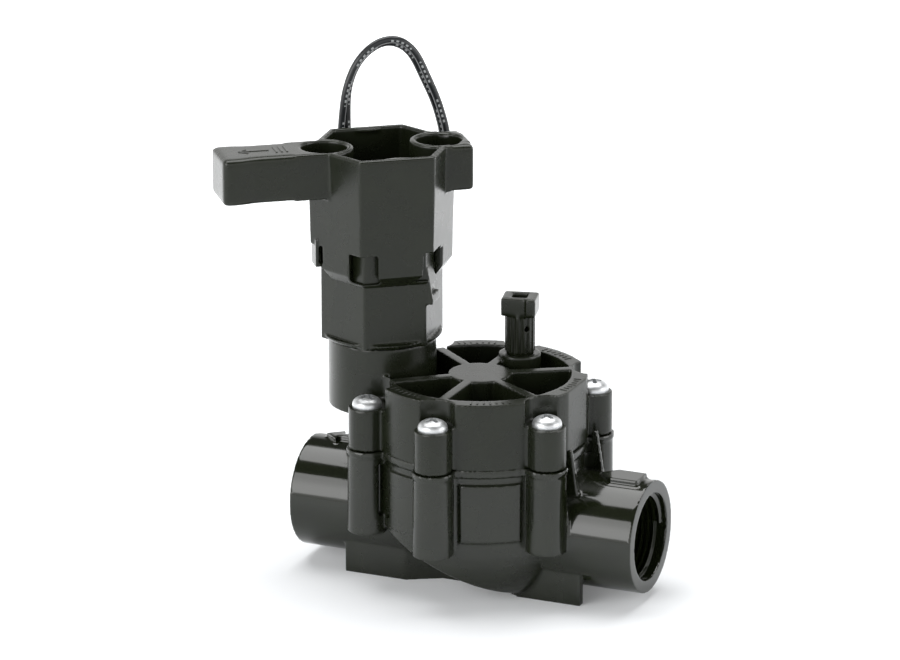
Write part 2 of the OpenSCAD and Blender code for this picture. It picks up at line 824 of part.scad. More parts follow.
module bonnet_screws() color(steel) at_screws() {
    slot_w = 1.1;
    slot_h = 1.6;
    slot_len = screw_head_r * 1.1;
    crown = 0.8;
    difference() {
        union() {
            bar(boss_top_z - screw_len, screw_len + slip, screw_r);
            translate([0, 0, boss_top_z]) rotate_extrude()
                polygon([[0, 0], [screw_head_r, 0], [screw_head_r, screw_head_h - 2 * crown],
                         [screw_head_r - 0.5 * crown, screw_head_h - crown],
                         [screw_head_r - 2 * crown, screw_head_h - 0.3 * crown], [0, screw_head_h]]);
        }
        for (a = [0, 90]) rotate([0, 0, a])
            translate([-slot_len / 2, -slot_w / 2, boss_top_z + screw_head_h - slot_h])
                cube([slot_len, slot_w, slot_h]);
    }
}

// Moulded rubber diaphragm, as half of its section
module diaphragm() color(grey_rubber) {
    rim_low = part_z - rubber_rim_t;
    bore = stud_r + run;
    edge = rubber_rim_r - slip;
    roll_out_r = chamber_r - seal_gap;
    under = [for (i = [0 : roll_steps]) let (u = i / roll_steps)
        [roll_in_r + (roll_out_r - roll_in_r) * u,
         seat_z + (rim_low - seat_z) * u + roll_rise * sin(180 * u)]];
    thick = [for (i = [0 : roll_steps]) rubber_t + (rubber_rim_t - rubber_t) * i / roll_steps];
    top = [for (i = [roll_steps : -1 : 0]) under[i] + [0, thick[i]]];
    rotate_extrude($fn = 96)
        polygon(concat([[bore, seat_z]], under, [[edge, rim_low], [edge, part_z]], top, [[bore, plate_z]]));
}

module diaphragm_plate() color(black_plastic) difference() {
    union() {
        bar(plate_z, plate_t, plate_r);
        bar(plate_z, plate_t + plate_hub_h, plate_hub_r);
    }
    bar(plate_z - over, plate_t + plate_hub_h + 2 * over, stud_r + run);
}

module diaphragm_guide() color(black_plastic) difference() {
    union() {
        bar(seat_z - guide_t, guide_t, seat_r - guide_clear);
        bar(seat_z - guide_hub_h, guide_hub_h, guide_hub_r);
        intersection() {
            for (a = [45, 135]) rotate([0, 0, a])
                translate([-seat_r, -guide_vane_t / 2, seat_z - guide_vane_h])
                    cube([2 * seat_r, guide_vane_t, guide_vane_h]);
            ring(seat_z - guide_vane_h, guide_vane_h, filter_r + vane_gap, seat_r - guide_clear);
        }
    }
    bar(seat_z - guide_hub_h + guide_hole_end, part_z, stud_r + run);
}

module diaphragm_screw() color(steel) {
    hub_z = plate_z + plate_t + plate_hub_h;
    low = seat_z - guide_hub_h + guide_hole_end + seal_gap;
    bar(low, hub_z - low, stud_r);
    bar(hub_z, stud_head_h, stud_head_r);
}

module inlet_filter() color("#8d9092") {
    low = seat_z - guide_hub_h - filter_h;
    difference() {
        bar(low, filter_h, filter_r);
        bar(low + filter_wall, filter_h, filter_r - filter_wall);
        for (k = [0 : filter_slots - 1]) rotate([0, 0, 360 * k / filter_slots])
            translate([0, -filter_slot_w / 2, low + filter_foot])
                cube([filter_r + over, filter_slot_w, filter_h - filter_foot - filter_head]);
    }
    bar(low + filter_h - filter_wall, filter_wall, filter_r - filter_wall / 2);
}

module diaphragm_spring() color(steel) tube(main_spring, spring_wire / 2, 6);

// Catch on the housing that shows in the sleeve's window
module housing_catch() {
    low = window_z - catch_h;
    translate([housing_flat, catch_y, low]) difference() {
        translate([-catch_root, -catch_w / 2, 0])
            cube([catch_root + catch_proud, catch_w, catch_h + catch_up]);
        translate([catch_proud + catch_nose, 0, 0]) rotate([0, -catch_slope, 0])
            translate([0, -catch_w, -over]) cube([catch_h, 2 * catch_w, 2 * catch_h]);
        translate([slip, catch_w / 2, catch_h + catch_hole_up]) rotate([0, 90, 0])
            cylinder(h = catch_h, r = catch_hole_r);
        translate([slip, catch_web - catch_w / 2, catch_slot_up]) cube([catch_h, catch_w, catch_slot_h]);
    }
}

module solenoid_housing() color(black_plastic) difference() {
    union() {
        on_handle() {
            hexagon(base_z, housing_top_z - base_z, housing_r, housing_r);
            rotate([0, 0, catch_a]) housing_catch();
        }
        translate([axis_x, 0, 0]) {
            translate([0, 0, base_z]) rotate_extrude($fn = 96)
                polygon([[0, 0], [base_r - base_chamfer, 0], [base_r, base_chamfer],
                         [base_r, base_h], [0, base_h]]);
            bar(shelf_z + oring_t, base_z - shelf_z - oring_t + over, socket_bore_r - run, $fn = 96);
            bar(nose_z, base_z - nose_z, nose_r);
        }
    }
    translate([axis_x, 0, 0]) {
        bar(coil_z, housing_h, coil_space_r, $fn = 96);
        bar(nose_z - over, housing_h, tube_hole_r);
    }
}

// Round walls of the two sockets, seen from above
module eyes(r) {
    for (s = [-1, 1]) translate([s * eye_x, 0]) circle(r = r);
}

// Handle and lug, seen from above
module arms_plan() {
    half = handle_w / 2;
    wide = half + tip_flare;
    neck = handle_reach - 2 * tip_len;
    swell = handle_reach - tip_len;
    edge = handle_reach - tip_edge;
    polygon([[handle_root, -half], [neck, -half], [swell, -wide], [edge, -wide], [handle_reach, -half],
             [handle_reach, half], [edge, wide], [swell, wide], [neck, half], [handle_root, half]]);
    translate([-lug_reach, -lug_w / 2]) square([lug_reach - handle_root, lug_w]);
}

// Loop that hangs from the sleeve at the handle's corner
module latch_loop() {
    loop_z = window_top_z + loop_up - loop_h;
    out = housing_r + 2 * slip;
    translate([out + loop_gap, -loop_w / 2, loop_z]) cube([loop_t, loop_w, loop_h + over]);
    translate([out, -loop_w / 2, loop_z]) cube([loop_gap + loop_t, loop_w, loop_foot]);
}

// Block on the back of the sleeve where the leads come out
module gland_block() {
    rotate([0, 0, -90])
        translate([lead_out - gland_root, -lead_mid - gland_block_w / 2, gland_low_z - gland_floor])
            cube([gland_block_out - lead_out + gland_root, gland_block_w, gland_plug_h + gland_floor]);
}

// Round pads inside the rim of the cup, front and back
module cup_pads() {
    translate([0, 0, sleeve_top_z - pad_drop - pad_t]) linear_extrude(pad_t)
        for (s = [-1, 1]) intersection() {
            circle(r = cup_r + sleeve_wall / 2, $fn = 6);
            translate([0, s * (cup_r * cos(30) + pad_r - pad_in)]) circle(r = pad_r);
        }
}

module handle_sleeve() color(black_plastic) {
    on_handle() difference() {
        union() {
            difference() {
                union() {
                    hexagon(skirt_z, skirt_h, housing_r + skirt_lip, skirt_r);
                    hexagon(skirt_top_z, sleeve_top_z - skirt_top_z, skirt_r, sleeve_r);
                    translate([0, 0, handle_z]) linear_extrude(sleeve_top_z - handle_z) arms_plan();
                    gland_block();
                }
                for (a = [60, 240, 300]) rotate([0, 0, a])
                    translate([0, -window_w / 2, window_z]) cube([sleeve_r, window_w, window_h]);
                rotate([0, 0, catch_a]) translate([0, catch_window_y - window_w / 2, window_z])
                    cube([sleeve_r, window_w, window_h]);
                translate([0, -window_w / 2, skirt_z - over])
                    cube([sleeve_r, window_w, window_up + over]);
                rotate([0, 0, catch_a]) translate([0, catch_y - catch_w / 2 - catch_play, skirt_z - over])
                    cube([sleeve_r, catch_w + 2 * catch_play, window_up]);
            }
            latch_loop();
        }
        hexagon(skirt_z - over, housing_top_z - skirt_z + over, housing_r + slip, housing_r + slip);
        translate([0, 0, cup_floor_z]) linear_extrude(cup_h + over) {
            difference() {
                circle(r = cup_r, $fn = 6);
                eyes(eye_r + sleeve_wall);
            }
        }
        translate([0, 0, handle_z + eye_floor_t]) linear_extrude(cup_h + over) eyes(eye_r);
        translate([eye_x + eye_r + sleeve_wall, -handle_w / 2 + handle_wall, handle_z - over])
            cube([handle_reach - handle_wall - eye_x - eye_r - sleeve_wall, handle_w - 2 * handle_wall,
                  cup_h - handle_wall + over]);
        rotate([0, 0, -90]) translate([lead_out, -lead_mid, 0]) bar(gland_low_z, gland_z, gland_r + slip);
    }
    on_handle() cup_pads();
}

module coil_bobbin() color("#cfcabb") translate([axis_x, 0, 0]) {
    ring(bobbin_z, bobbin_top_z - bobbin_z, bobbin_in_r, bobbin_out_r);
    for (z = [bobbin_z, bobbin_top_z - bobbin_flange_t])
        ring(z, bobbin_flange_t, bobbin_in_r, bobbin_flange_r);
}

module coil_winding() color(copper) translate([axis_x, 0, 0])
    ring(bobbin_z + bobbin_flange_t + slip, bobbin_top_z - bobbin_z - 2 * bobbin_flange_t - 2 * slip,
         bobbin_out_r + slip, bobbin_flange_r - winding_drop);

module flux_shell() color(steel) translate([axis_x, 0, 0])
    ring(bobbin_z, bobbin_top_z - bobbin_z, shell_r - shell_t, shell_r);

module flux_washers() color(steel) translate([axis_x, 0, 0])
    for (z = [coil_z, bobbin_top_z + slip]) ring(z, washer_t, bobbin_in_r, shell_r);

module coil_potting() color("#27282a") translate([axis_x, 0, 0]) difference() {
    bar(stack_top_z, potting_t, shell_r);
    bar(stack_top_z - over, pole_top_z - stack_top_z + over, tube_hole_r);
}

module core_tube() color(steel) translate([axis_x, 0, 0])
    ring(nose_z, pole_top_z - nose_z, tube_in_r, tube_out_r);

module pole_piece() color(steel) translate([axis_x, 0, 0])
    bar(pole_z, pole_top_z - pole_z, tube_in_r - run);

module plunger() color(steel) translate([axis_x, 0, 0]) difference() {
    bar(plunger_z, plunger_len, plunger_r);
    bar(plunger_z - over, seal_t - seal_proud + over, seal_r + run);
    bar(plunger_top_z - plunger_well_h, plunger_well_h + over, plunger_well_r);
}

module plunger_seal() color(grey_rubber) translate([axis_x, 0, 0]) bar(nozzle_z, seal_t, seal_r);

module plunger_spring() color(steel) translate([axis_x, 0, 0]) tube(core_spring, plunger_wire / 2, 6);

module plunger_keeper() color(black_plastic) translate([axis_x, 0, 0])
    ring(nose_z - keeper_t, keeper_t, nozzle_r + keeper_play, nose_r - slip);

// Rubber ring with a round section
module rubber_ring(z, mid_r, section_r) {
    translate([0, 0, z]) rotate_extrude() translate([mid_r, 0]) circle(r = section_r, $fn = 24);
}

module solenoid_oring() color(grey_rubber) translate([axis_x, 0, 0])
    rubber_ring(shelf_z + oring_t / 2, (nose_r + socket_bore_r) / 2, oring_r);

// Rubber plug that the leads come out of
module lead_grommet() color(grey_rubber) on_handle()
    rotate([0, 0, -90]) translate([lead_out, -lead_mid, 0]) {
        bar(gland_low_z, gland_plug_h, gland_r);
        bar(gland_low_z + gland_plug_h, gland_lip_h, gland_r + gland_lip);
        translate([0, 0, gland_z - gland_nose_h])
            cylinder(h = gland_nose_h, r1 = gland_r, r2 = gland_r - gland_taper);
    }

module bleed_screw() color(black_plastic) translate([bleed_x, bleed_y, 0]) difference() {
    union() {
        bar(bleed_seat_z + slip, bleed_neck_h, bleed_neck_r);
        bar(bleed_seat_z + bleed_neck_h, bleed_stem_z - bleed_seat_z - bleed_neck_h + over, bleed_r);
        bar(bleed_stem_z, bleed_stem + over, bleed_core_r);
        for (k = [0 : bleed_ribs - 1]) rotate([0, 0, 360 * k / bleed_ribs])
            translate([bleed_core_r - bleed_rib_d, -bleed_rib_w / 2, bleed_stem_z + bleed_rib_up])
                cube([2 * bleed_rib_d, bleed_rib_w, bleed_stem]);
        rotate([0, 0, bleed_head_a]) translate([0, 0, bleed_head_z]) {
            translate([-bleed_head_w / 2, -bleed_head_d / 2, 0])
                cube([bleed_head_w, bleed_head_d, bleed_head_h]);
            translate([bleed_head_w / 2 - bleed_step_w, -bleed_head_d / 2 - bleed_step_d, 0])
                cube([bleed_step_w, bleed_head_d, bleed_head_h]);
        }
    }
    bar(bleed_seat_z - over, bleed_vent_z - bleed_seat_z + 3 * over, bleed_tube_r);
    translate([0, 0, bleed_vent_z]) rotate([90, 0, bleed_vent_a])
        cylinder(h = bleed_head_w, r = bleed_vent_r);
    rotate([0, 0, bleed_head_a])
        translate([-bleed_key_w / 2, -bleed_key_w / 2, bleed_head_z + bleed_head_h - bleed_key_h])
            cube([bleed_key_w, bleed_key_w, bleed_key_h + over]);
}

module bleed_oring() color(grey_rubber) translate([bleed_x, bleed_y, 0])
    rubber_ring(bleed_seat_z + bleed_neck_h / 2, (bleed_neck_r + bleed_bore_r) / 2, bleed_oring_t / 2);

module lead_a() color(lead_black) tube(lead_a_route, lead_r, lead_sides);

module lead_b() color(lead_black) tube(lead_b_route, lead_r, lead_sides);

module lead_a_coil() color(lead_black) tube(lead_a_turns, lead_r, coil_sides);

module lead_b_coil() color(lead_black) tube(lead_b_turns, lead_r, coil_sides);

// Stripped end that carries on from a coiled lead
module bare_end(turns) color(copper)
    translate(turns[len(turns) - 1]) rotate([90, 0, 0]) cylinder(h = bare_len, r = bare_r, $fn = 16);

module lead_a_end() bare_end(lead_a_turns);

module lead_b_end() bare_end(lead_b_turns);

// Tie round the turns of one coil, on its far side
module coil_ties() color("#e8e8e4") for (cx = [coil_a_x, coil_b_x]) {
    in_r = coil_r - coil_step * (coil_turns + 0.25) - lead_r - tie_gap;
    out_r = coil_r + lead_r + tie_gap;
    low = tie_t;
    high = coil_z0 + coil_layer + lead_r + tie_gap;
    translate([cx, coil_y, 0]) rotate([0, 0, 90]) translate([0, tie_w / 2, 0]) rotate([90, 0, 0])
        linear_extrude(tie_w) difference() {
            translate([in_r - tie_t, low - tie_t]) square([out_r - in_r + 2 * tie_t, high - low + 2 * tie_t]);
            translate([in_r, low]) square([out_r - in_r, high - low]);
        }
}

valve_body();
inlet_port();
outlet_port();
bonnet();
bonnet_screws();
diaphragm();
diaphragm_plate();
diaphragm_guide();
diaphragm_screw();
inlet_filter();
diaphragm_spring();
solenoid_housing();
handle_sleeve();
coil_bobbin();
coil_winding();
flux_shell();
flux_washers();
coil_potting();
core_tube();
pole_piece();
plunger();
plunger_seal();
plunger_spring();
plunger_keeper();
solenoid_oring();
lead_grommet();
bleed_screw();
bleed_oring();
lead_a();
lead_b();
lead_a_coil();
lead_b_coil();
lead_a_end();
lead_b_end();
coil_ties();
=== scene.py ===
"""Looks of an irrigation zone valve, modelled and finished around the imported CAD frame."""

import json
import math

import bmesh
import bpy
from bpy.props import FloatProperty, FloatVectorProperty, IntProperty, PointerProperty
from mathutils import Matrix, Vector


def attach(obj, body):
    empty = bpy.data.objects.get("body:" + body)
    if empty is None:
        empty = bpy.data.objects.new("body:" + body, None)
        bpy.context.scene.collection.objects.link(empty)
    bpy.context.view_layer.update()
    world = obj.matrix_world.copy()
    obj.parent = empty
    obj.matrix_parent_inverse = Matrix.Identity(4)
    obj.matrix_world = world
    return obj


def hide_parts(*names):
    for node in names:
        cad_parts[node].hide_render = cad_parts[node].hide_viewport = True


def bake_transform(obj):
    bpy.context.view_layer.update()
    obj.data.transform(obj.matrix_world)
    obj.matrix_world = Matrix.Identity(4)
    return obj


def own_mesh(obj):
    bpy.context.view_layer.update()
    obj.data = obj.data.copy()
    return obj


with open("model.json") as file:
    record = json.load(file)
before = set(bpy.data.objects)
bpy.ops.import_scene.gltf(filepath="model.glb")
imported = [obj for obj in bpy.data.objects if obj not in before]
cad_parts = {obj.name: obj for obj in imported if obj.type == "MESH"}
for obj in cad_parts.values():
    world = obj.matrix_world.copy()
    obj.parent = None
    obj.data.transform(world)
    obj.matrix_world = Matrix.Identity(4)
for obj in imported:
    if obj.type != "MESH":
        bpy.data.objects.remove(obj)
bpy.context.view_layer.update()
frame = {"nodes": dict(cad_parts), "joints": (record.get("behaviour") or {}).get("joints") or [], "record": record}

bl_info = {
    "name": "Zone valve",
    "version": (1, 0, 0),
    "blender": (4, 5, 0),
    "location": "View3D > Sidebar > Zone valve",
    "description": "Models and finishes an irrigation zone valve around its CAD frame",
    "category": "Object",
}

MM = 0.001

# Places that the valve is built round, in metres, read from the frame
JOINTS = {joint["name"]: joint for joint in frame["joints"]}
MOUNTS = {mount["name"]: mount for mount in frame["record"]["mounts"]}
SOLENOID_AXIS = Vector(JOINTS["solenoid_turn"]["pos_m"])
PORT_FACE = MOUNTS["inlet"]["pos_m"][0]
PORT_Z = MOUNTS["inlet"]["pos_m"][2]
THREAD_WALL = MOUNTS["inlet"]["dims"]["r_mm"] * MM
THREAD_DEPTH = MOUNTS["inlet"]["dims"]["length_mm"] * MM
HANDLE_ANGLE = math.radians(218)
HANDLE_WAY = Vector((math.cos(HANDLE_ANGLE), math.sin(HANDLE_ANGLE), 0))
HANDLE_SIDE = Vector((-HANDLE_WAY.y, HANDLE_WAY.x, 0))
HANDLE_LOW = 116.4 * MM
HANDLE_TOP = 132.1 * MM
BLEED_HEAD_LOW = 77.6 * MM
SOCKET_TOP = 72.35 * MM
SPIGOT_WALL = 12 * MM
# Room that the softened spigot and its shoulder need to turn in the socket
SPIGOT_PLAY = 0.12 * MM
RIM_TOP = 64.3 * MM
RIM_MIDDLE = 29.8 * MM

# Bonnet screws: distance from the bonnet axis in millimetres and angle in degrees
SCREWS = [(34.7, 32), (35.1, 90), (35.1, 140), (35.1, -140), (35.1, -90), (34.7, -32)]
SCREW_SEAT = 57 * MM
SCREW_LENGTH = 30 * MM

# Route of the leads in millimetres: along the back of the sleeve, out from its axis, and up
LEAD_OUT = 22.7
LEAD_A_LOOP = [
    (-7.2, LEAD_OUT, 112), (-7.2, LEAD_OUT, 116), (-7.2, LEAD_OUT, 121), (-6.9, LEAD_OUT, 132),
    (-5.4, LEAD_OUT, 143), (-1.8, LEAD_OUT, 151.4), (4, LEAD_OUT, 156.6), (10.4, LEAD_OUT, 157.4),
    (15.8, LEAD_OUT, 153.4), (20, LEAD_OUT, 145), (23.6, LEAD_OUT, 136), (26, LEAD_OUT, 126),
    (26.2, LEAD_OUT, 115), (23, LEAD_OUT, 103), (17, 24, 88), (13, 26, 70), (12, 28, 48), (12.6, 29, 26),
]
LEAD_B_LOOP = [
    (-4.6, LEAD_OUT, 112), (-4.6, LEAD_OUT, 116), (-4.6, LEAD_OUT, 121), (-4.8, 24, 132),
    (-4.1, 25, 142.6), (-0.9, 25.3, 150.4), (4.6, 25.3, 155.2), (10.2, 25.3, 155.8),
    (15.2, 25.3, 152.2), (19.3, 25.3, 144.2), (23, 25.3, 135.4), (25.3, 25.3, 125.6),
    (25.4, 25.3, 114.6), (22, 25.5, 102.6), (15.2, 26.9, 87), (10, 29, 70),
    (8, 31, 48), (8, 32, 26),
]
COIL_Z = 1.85
LEAD_A_FLOOR = [(-37, 32.6, 9), (-33.4, 41, COIL_Z)]
LEAD_B_FLOOR = [(-43, 34, 9), (-40, 42, COIL_Z)]
COIL_A_X = -15
COIL_B_X = -53
COIL_Y = 60
COIL_R = 15.2
COIL_STEP = 2.9
COIL_LAYER = 2.7
COIL_TURNS = 2


def linear(code):
    """Linear RGB of an sRGB hex colour."""
    parts = [int(code[i:i + 2], 16) / 255 for i in (1, 3, 5)]
    return [c / 12.92 if c <= 0.04045 else ((c + 0.055) / 1.055) ** 2.4 for c in parts]


class ValveSizes(bpy.types.PropertyGroup):
    """Sizes that only the looks need"""

    body_grain: FloatProperty(
        name="Body grain",
        description="Grid on which body and bonnet are remade to soften their edges",
        default=0.44 * MM, min=0.3 * MM, max=1 * MM, unit="LENGTH", precision=5)
    sleeve_grain: FloatProperty(
        name="Sleeve grain",
        description="Grid on which housing and sleeve are remade to soften their edges",
        default=0.36 * MM, min=0.25 * MM, max=1 * MM, unit="LENGTH", precision=5)
    edge_passes: IntProperty(
        name="Edge passes", description="Passes of easing on every moulded edge", default=2, min=0, max=12)
    handle_passes: IntProperty(
        name="Handle passes", description="Passes of easing on the rounder handle, cup and lug",
        default=64, min=0, max=80)
    screw_head: FloatProperty(
        name="Screw head", description="Diameter of the pan heads of the bonnet screws",
        default=8.9 * MM, min=6 * MM, max=9.4 * MM, unit="LENGTH", precision=5)
    screw_dome: FloatProperty(
        name="Screw dome", description="Height of these pan heads",
        default=3.3 * MM, min=2 * MM, max=3.3 * MM, unit="LENGTH", precision=5)
    screw_shank: FloatProperty(
        name="Screw shank", description="Diameter of the bonnet screws",
        default=4.2 * MM, min=3 * MM, max=4.4 * MM, unit="LENGTH", precision=5)
    thread_pitch: FloatProperty(
        name="Thread pitch", description="Pitch of the pipe thread in the ports",
        default=1.81 * MM, min=1 * MM, max=3 * MM, unit="LENGTH", precision=5)
    thread_height: FloatProperty(
        name="Thread height", description="Height of the pipe thread's ridge",
        default=1.1 * MM, min=0.3 * MM, max=1.6 * MM, unit="LENGTH", precision=5)
    lead_diameter: FloatProperty(
        name="Lead diameter", description="Diameter of each lead over its insulation",
        default=2.2 * MM, min=1 * MM, max=4 * MM, unit="LENGTH", precision=5)
    lead_sides: IntProperty(
        name="Lead sides", description="Faces round each lead", default=14, min=6, max=32)


class ValveColours(bpy.types.PropertyGroup):
    """Colours of the materials, linear"""

    nylon: FloatVectorProperty(
        name="Nylon", description="Black glass-filled nylon",
        subtype="COLOR", default=linear("#15190d"))
    steel: FloatVectorProperty(
        name="Steel", description="Stainless steel of the screws",
        subtype="COLOR", default=linear("#e6e4da"))
    insulation: FloatVectorProperty(
        name="Insulation", description="PVC insulation of the leads",
        subtype="COLOR", default=linear("#1c1e20"))
    print: FloatVectorProperty(
        name="Print", description="Dashes printed on the leads",
        subtype="COLOR", default=linear("#a3a6a6"))
    rubber: FloatVectorProperty(
        name="Rubber", description="Moulded seals",
        subtype="COLOR", default=linear("#1d1d1c"))
    copper: FloatVectorProperty(
        name="Copper", description="Bare wire",
        subtype="COLOR", default=linear("#c98a63"))
    floor: FloatVectorProperty(
        name="Floor", description="Pale studio floor",
        subtype="COLOR", default=linear("#f1f3f5"))


# Materials

# Tone of the nylon where its fibre flow is weak and strong: place on the ramp and share of the colour
NYLON_MOTTLE = ((0.3, 0.82), (0.75, 1.16))
# Share of the roughness that is left where the mould was polished, and the width of the change
POLISH = 0.36
POLISH_FADE = 3 * MM
# Printed side of a lead as a share of its round, half the width of the print, then spacing and inked share
# of the dashes and of their groups
PRINT_SIDE = 0.9
PRINT_HALF = 0.045
PRINT_DASHES = ((1.7 * MM, 0.5), (13 * MM, 0.62))


def add_node(tree, kind, links=(), **settings):
    """Adds a shader node, sets its inputs and fields by name, and links (output, input name) pairs."""
    made = tree.nodes.new(kind)
    for name, value in settings.items():
        if hasattr(made, name):
            setattr(made, name, value)
        else:
            made.inputs[name.replace("_", " ")].default_value = value
    for output, name in links:
        tree.links.new(output, made.inputs[name])
    return made


def new_material(name):
    """A new node material: its tree, its shader and its object coordinates."""
    made = bpy.data.materials.new(name)
    made.use_nodes = True
    tree = made.node_tree
    place = tree.nodes.new("ShaderNodeTexCoord").outputs["Object"]
    return tree, tree.nodes["Principled BSDF"], place


def per_mm(size):
    """Noise scale in 1/metre for features of this size in millimetres."""
    return 1 / (size * MM)


def moulded_nylon(name, colour, rough, ior, polish_x=None):
    """Glass-filled nylon from a steel mould: near black, satin, faintly mottled where the fibre flows.

    Further than polish_x from the middle, along X, the mould is polished.
    """
    tree, shader, place = new_material(name)
    flow = add_node(tree, "ShaderNodeTexNoise", [(place, "Vector")], Scale=per_mm(9), Detail=4.0)
    grain = add_node(tree, "ShaderNodeTexNoise", [(place, "Vector")], Scale=per_mm(0.5), Detail=2.0)
    shade = add_node(tree, "ShaderNodeValToRGB", [(flow.outputs["Fac"], "Fac")])
    for stop, (position, tone) in zip(shade.color_ramp.elements, NYLON_MOTTLE):
        stop.position = position
        stop.color = [c * tone for c in colour] + [1]
    satin = add_node(tree, "ShaderNodeMapRange", [(flow.outputs["Fac"], "Value")],
                     To_Min=rough - 0.05, To_Max=rough + 0.06)
    finish = satin.outputs["Result"]
    if polish_x:
        split = add_node(tree, "ShaderNodeSeparateXYZ", [(place, "Vector")])
        reach = add_node(tree, "ShaderNodeMath", [(split.outputs["X"], 0)], operation="ABSOLUTE")
        gloss = add_node(tree, "ShaderNodeMapRange", [(reach.outputs[0], "Value")],
                         From_Min=polish_x, From_Max=polish_x + POLISH_FADE, To_Min=1.0, To_Max=POLISH)
        finish = add_node(tree, "ShaderNodeMath", [(finish, 0), (gloss.outputs["Result"], 1)],
                          operation="MULTIPLY").outputs[0]
    bump = add_node(tree, "ShaderNodeBump", [(grain.outputs["Fac"], "Height")],
                    Strength=0.025, Distance=0.02 * MM)
    tree.links.new(shade.outputs["Color"], shader.inputs["Base Color"])
    tree.links.new(finish, shader.inputs["Roughness"])
    tree.links.new(bump.outputs["Normal"], shader.inputs["Normal"])
    shader.inputs["IOR"].default_value = ior


def stainless_steel(name, colour):
    """Cold-headed stainless steel: bright, with fine tumbling scratches."""
    tree, shader, place = new_material(name)
    tumble = add_node(tree, "ShaderNodeTexNoise", [(place, "Vector")], Scale=per_mm(0.7), Detail=5.0)
    satin = add_node(tree, "ShaderNodeMapRange", [(tumble.outputs["Fac"], "Value")],
                     To_Min=0.14, To_Max=0.32)
    bump = add_node(tree, "ShaderNodeBump", [(tumble.outputs["Fac"], "Height")],
                    Strength=0.3, Distance=0.06 * MM)
    tree.links.new(satin.outputs["Result"], shader.inputs["Roughness"])
    tree.links.new(bump.outputs["Normal"], shader.inputs["Normal"])
    shader.inputs["Base Color"].default_value = [*colour, 1]
    shader.inputs["Metallic"].default_value = 1


def pvc_insulation(name, colour, ink):
    """Extruded PVC on stranded wire: black, slightly shiny, with a row of printed dashes along one side."""
    tree, shader, _ = new_material(name)
    run = tree.nodes.new("ShaderNodeUVMap")
    run.uv_map = "Lay"
    split = add_node(tree, "ShaderNodeSeparateXYZ", [(run.outputs["UV"], "Vector")])
    side = add_node(tree, "ShaderNodeMath", [(split.outputs["X"], 0)], operation="COMPARE")
    side.inputs[1].default_value = PRINT_SIDE
    side.inputs[2].default_value = PRINT_HALF
    marks = []
    for spacing, share in PRINT_DASHES:
        turn = add_node(tree, "ShaderNodeMath", [(split.outputs["Y"], 0)], operation="WRAP")
        turn.inputs[1].default_value = spacing
        turn.inputs[2].default_value = 0
        marks.append(add_node(tree, "ShaderNodeMath", [(turn.outputs[0], 0)], operation="LESS_THAN"))
        marks[-1].inputs[1].default_value = spacing * share
    both = add_node(tree, "ShaderNodeMath", [(marks[0].outputs[0], 0), (marks[1].outputs[0], 1)],
                    operation="MULTIPLY")
    printed = add_node(tree, "ShaderNodeMath", [(both.outputs[0], 0), (side.outputs[0], 1)],
                       operation="MULTIPLY")
    coat = add_node(tree, "ShaderNodeMix", [(printed.outputs[0], "Factor")], data_type="RGBA")
    coat.inputs[6].default_value = [*colour, 1]
    coat.inputs[7].default_value = [*ink, 1]
    tree.links.new(coat.outputs[2], shader.inputs["Base Color"])
    shader.inputs["Roughness"].default_value = 0.28
    shader.inputs["IOR"].default_value = 1.52


def plain_finish(name, colour, rough, metallic=0.0, grit=1.0):
    """Finish of a piece inside or behind the valve: one colour with a fine, uneven roughness."""
    tree, shader, place = new_material(name)
    noise = add_node(tree, "ShaderNodeTexNoise", [(place, "Vector")], Scale=per_mm(grit), Detail=3.0)
    uneven = add_node(tree, "ShaderNodeMapRange", [(noise.outputs["Fac"], "Value")],
                      To_Min=rough * 0.8, To_Max=min(1.0, rough * 1.2))
    tree.links.new(uneven.outputs["Result"], shader.inputs["Roughness"])
    shader.inputs["Base Color"].default_value = [*colour, 1]
    shader.inputs["Metallic"].default_value = metallic


def finishes():
    """Every material of the valve by the name that its pieces use, made once."""
    hues = bpy.context.scene.valve_colours
    if "black_nylon" not in bpy.data.materials:
        moulded_nylon("black_nylon", hues.nylon, 0.27, 1.45)
        moulded_nylon("polished_nylon", hues.nylon, 0.27, 1.55, polish_x=33 * MM)
        stainless_steel("stainless_steel", hues.steel)
        pvc_insulation("pvc_insulation", hues.insulation, hues.print)
        plain_finish("moulded_rubber", hues.rubber, 0.7)
        plain_finish("bare_copper", hues.copper, 0.35, metallic=1.0, grit=0.4)
        plain_finish("zinc_plate", linear("#b4b6b0"), 0.35, metallic=1.0)
        plain_finish("natural_nylon", linear("#d8d3c2"), 0.5)
        plain_finish("grey_acetal", linear("#8f9294"), 0.45)
        plain_finish("cast_resin", linear("#26272a"), 0.4)
    return bpy.data.materials


# Modelling

def only(*objects):
    """Selects these objects alone and makes the first one active."""
    if bpy.context.mode != "OBJECT":
        bpy.ops.object.mode_set(mode="OBJECT")
    bpy.ops.object.select_all(action="DESELECT")
    for item in objects:
        item.hide_set(False)
        item.select_set(True)
    if objects:
        bpy.context.view_layer.objects.active = objects[0]


def apply_all(piece):
    """Applies a piece's modifiers, then its place, turn and size to its mesh."""
    only(piece)
    for modifier in list(piece.modifiers):
        bpy.ops.object.modifier_apply(modifier=modifier.name)
    bpy.ops.object.transform_apply(location=True, rotation=True, scale=True)


def dress(piece, material, body, nodes=(), smooth=35):
    """Finishes a piece: smooth shading, material, body and the CAD nodes that it stands for."""
    apply_all(piece)
    bpy.ops.object.shade_smooth_by_angle(angle=math.radians(smooth))
    even = piece.modifiers.new("even", "WEIGHTED_NORMAL")
    even.keep_sharp = True
    bpy.ops.object.modifier_apply(modifier=even.name)
    piece.data.materials.clear()
    piece.data.materials.append(finishes()[material])
    if body:
        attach(piece, body)
    if nodes:
        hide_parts(*nodes)
    return piece


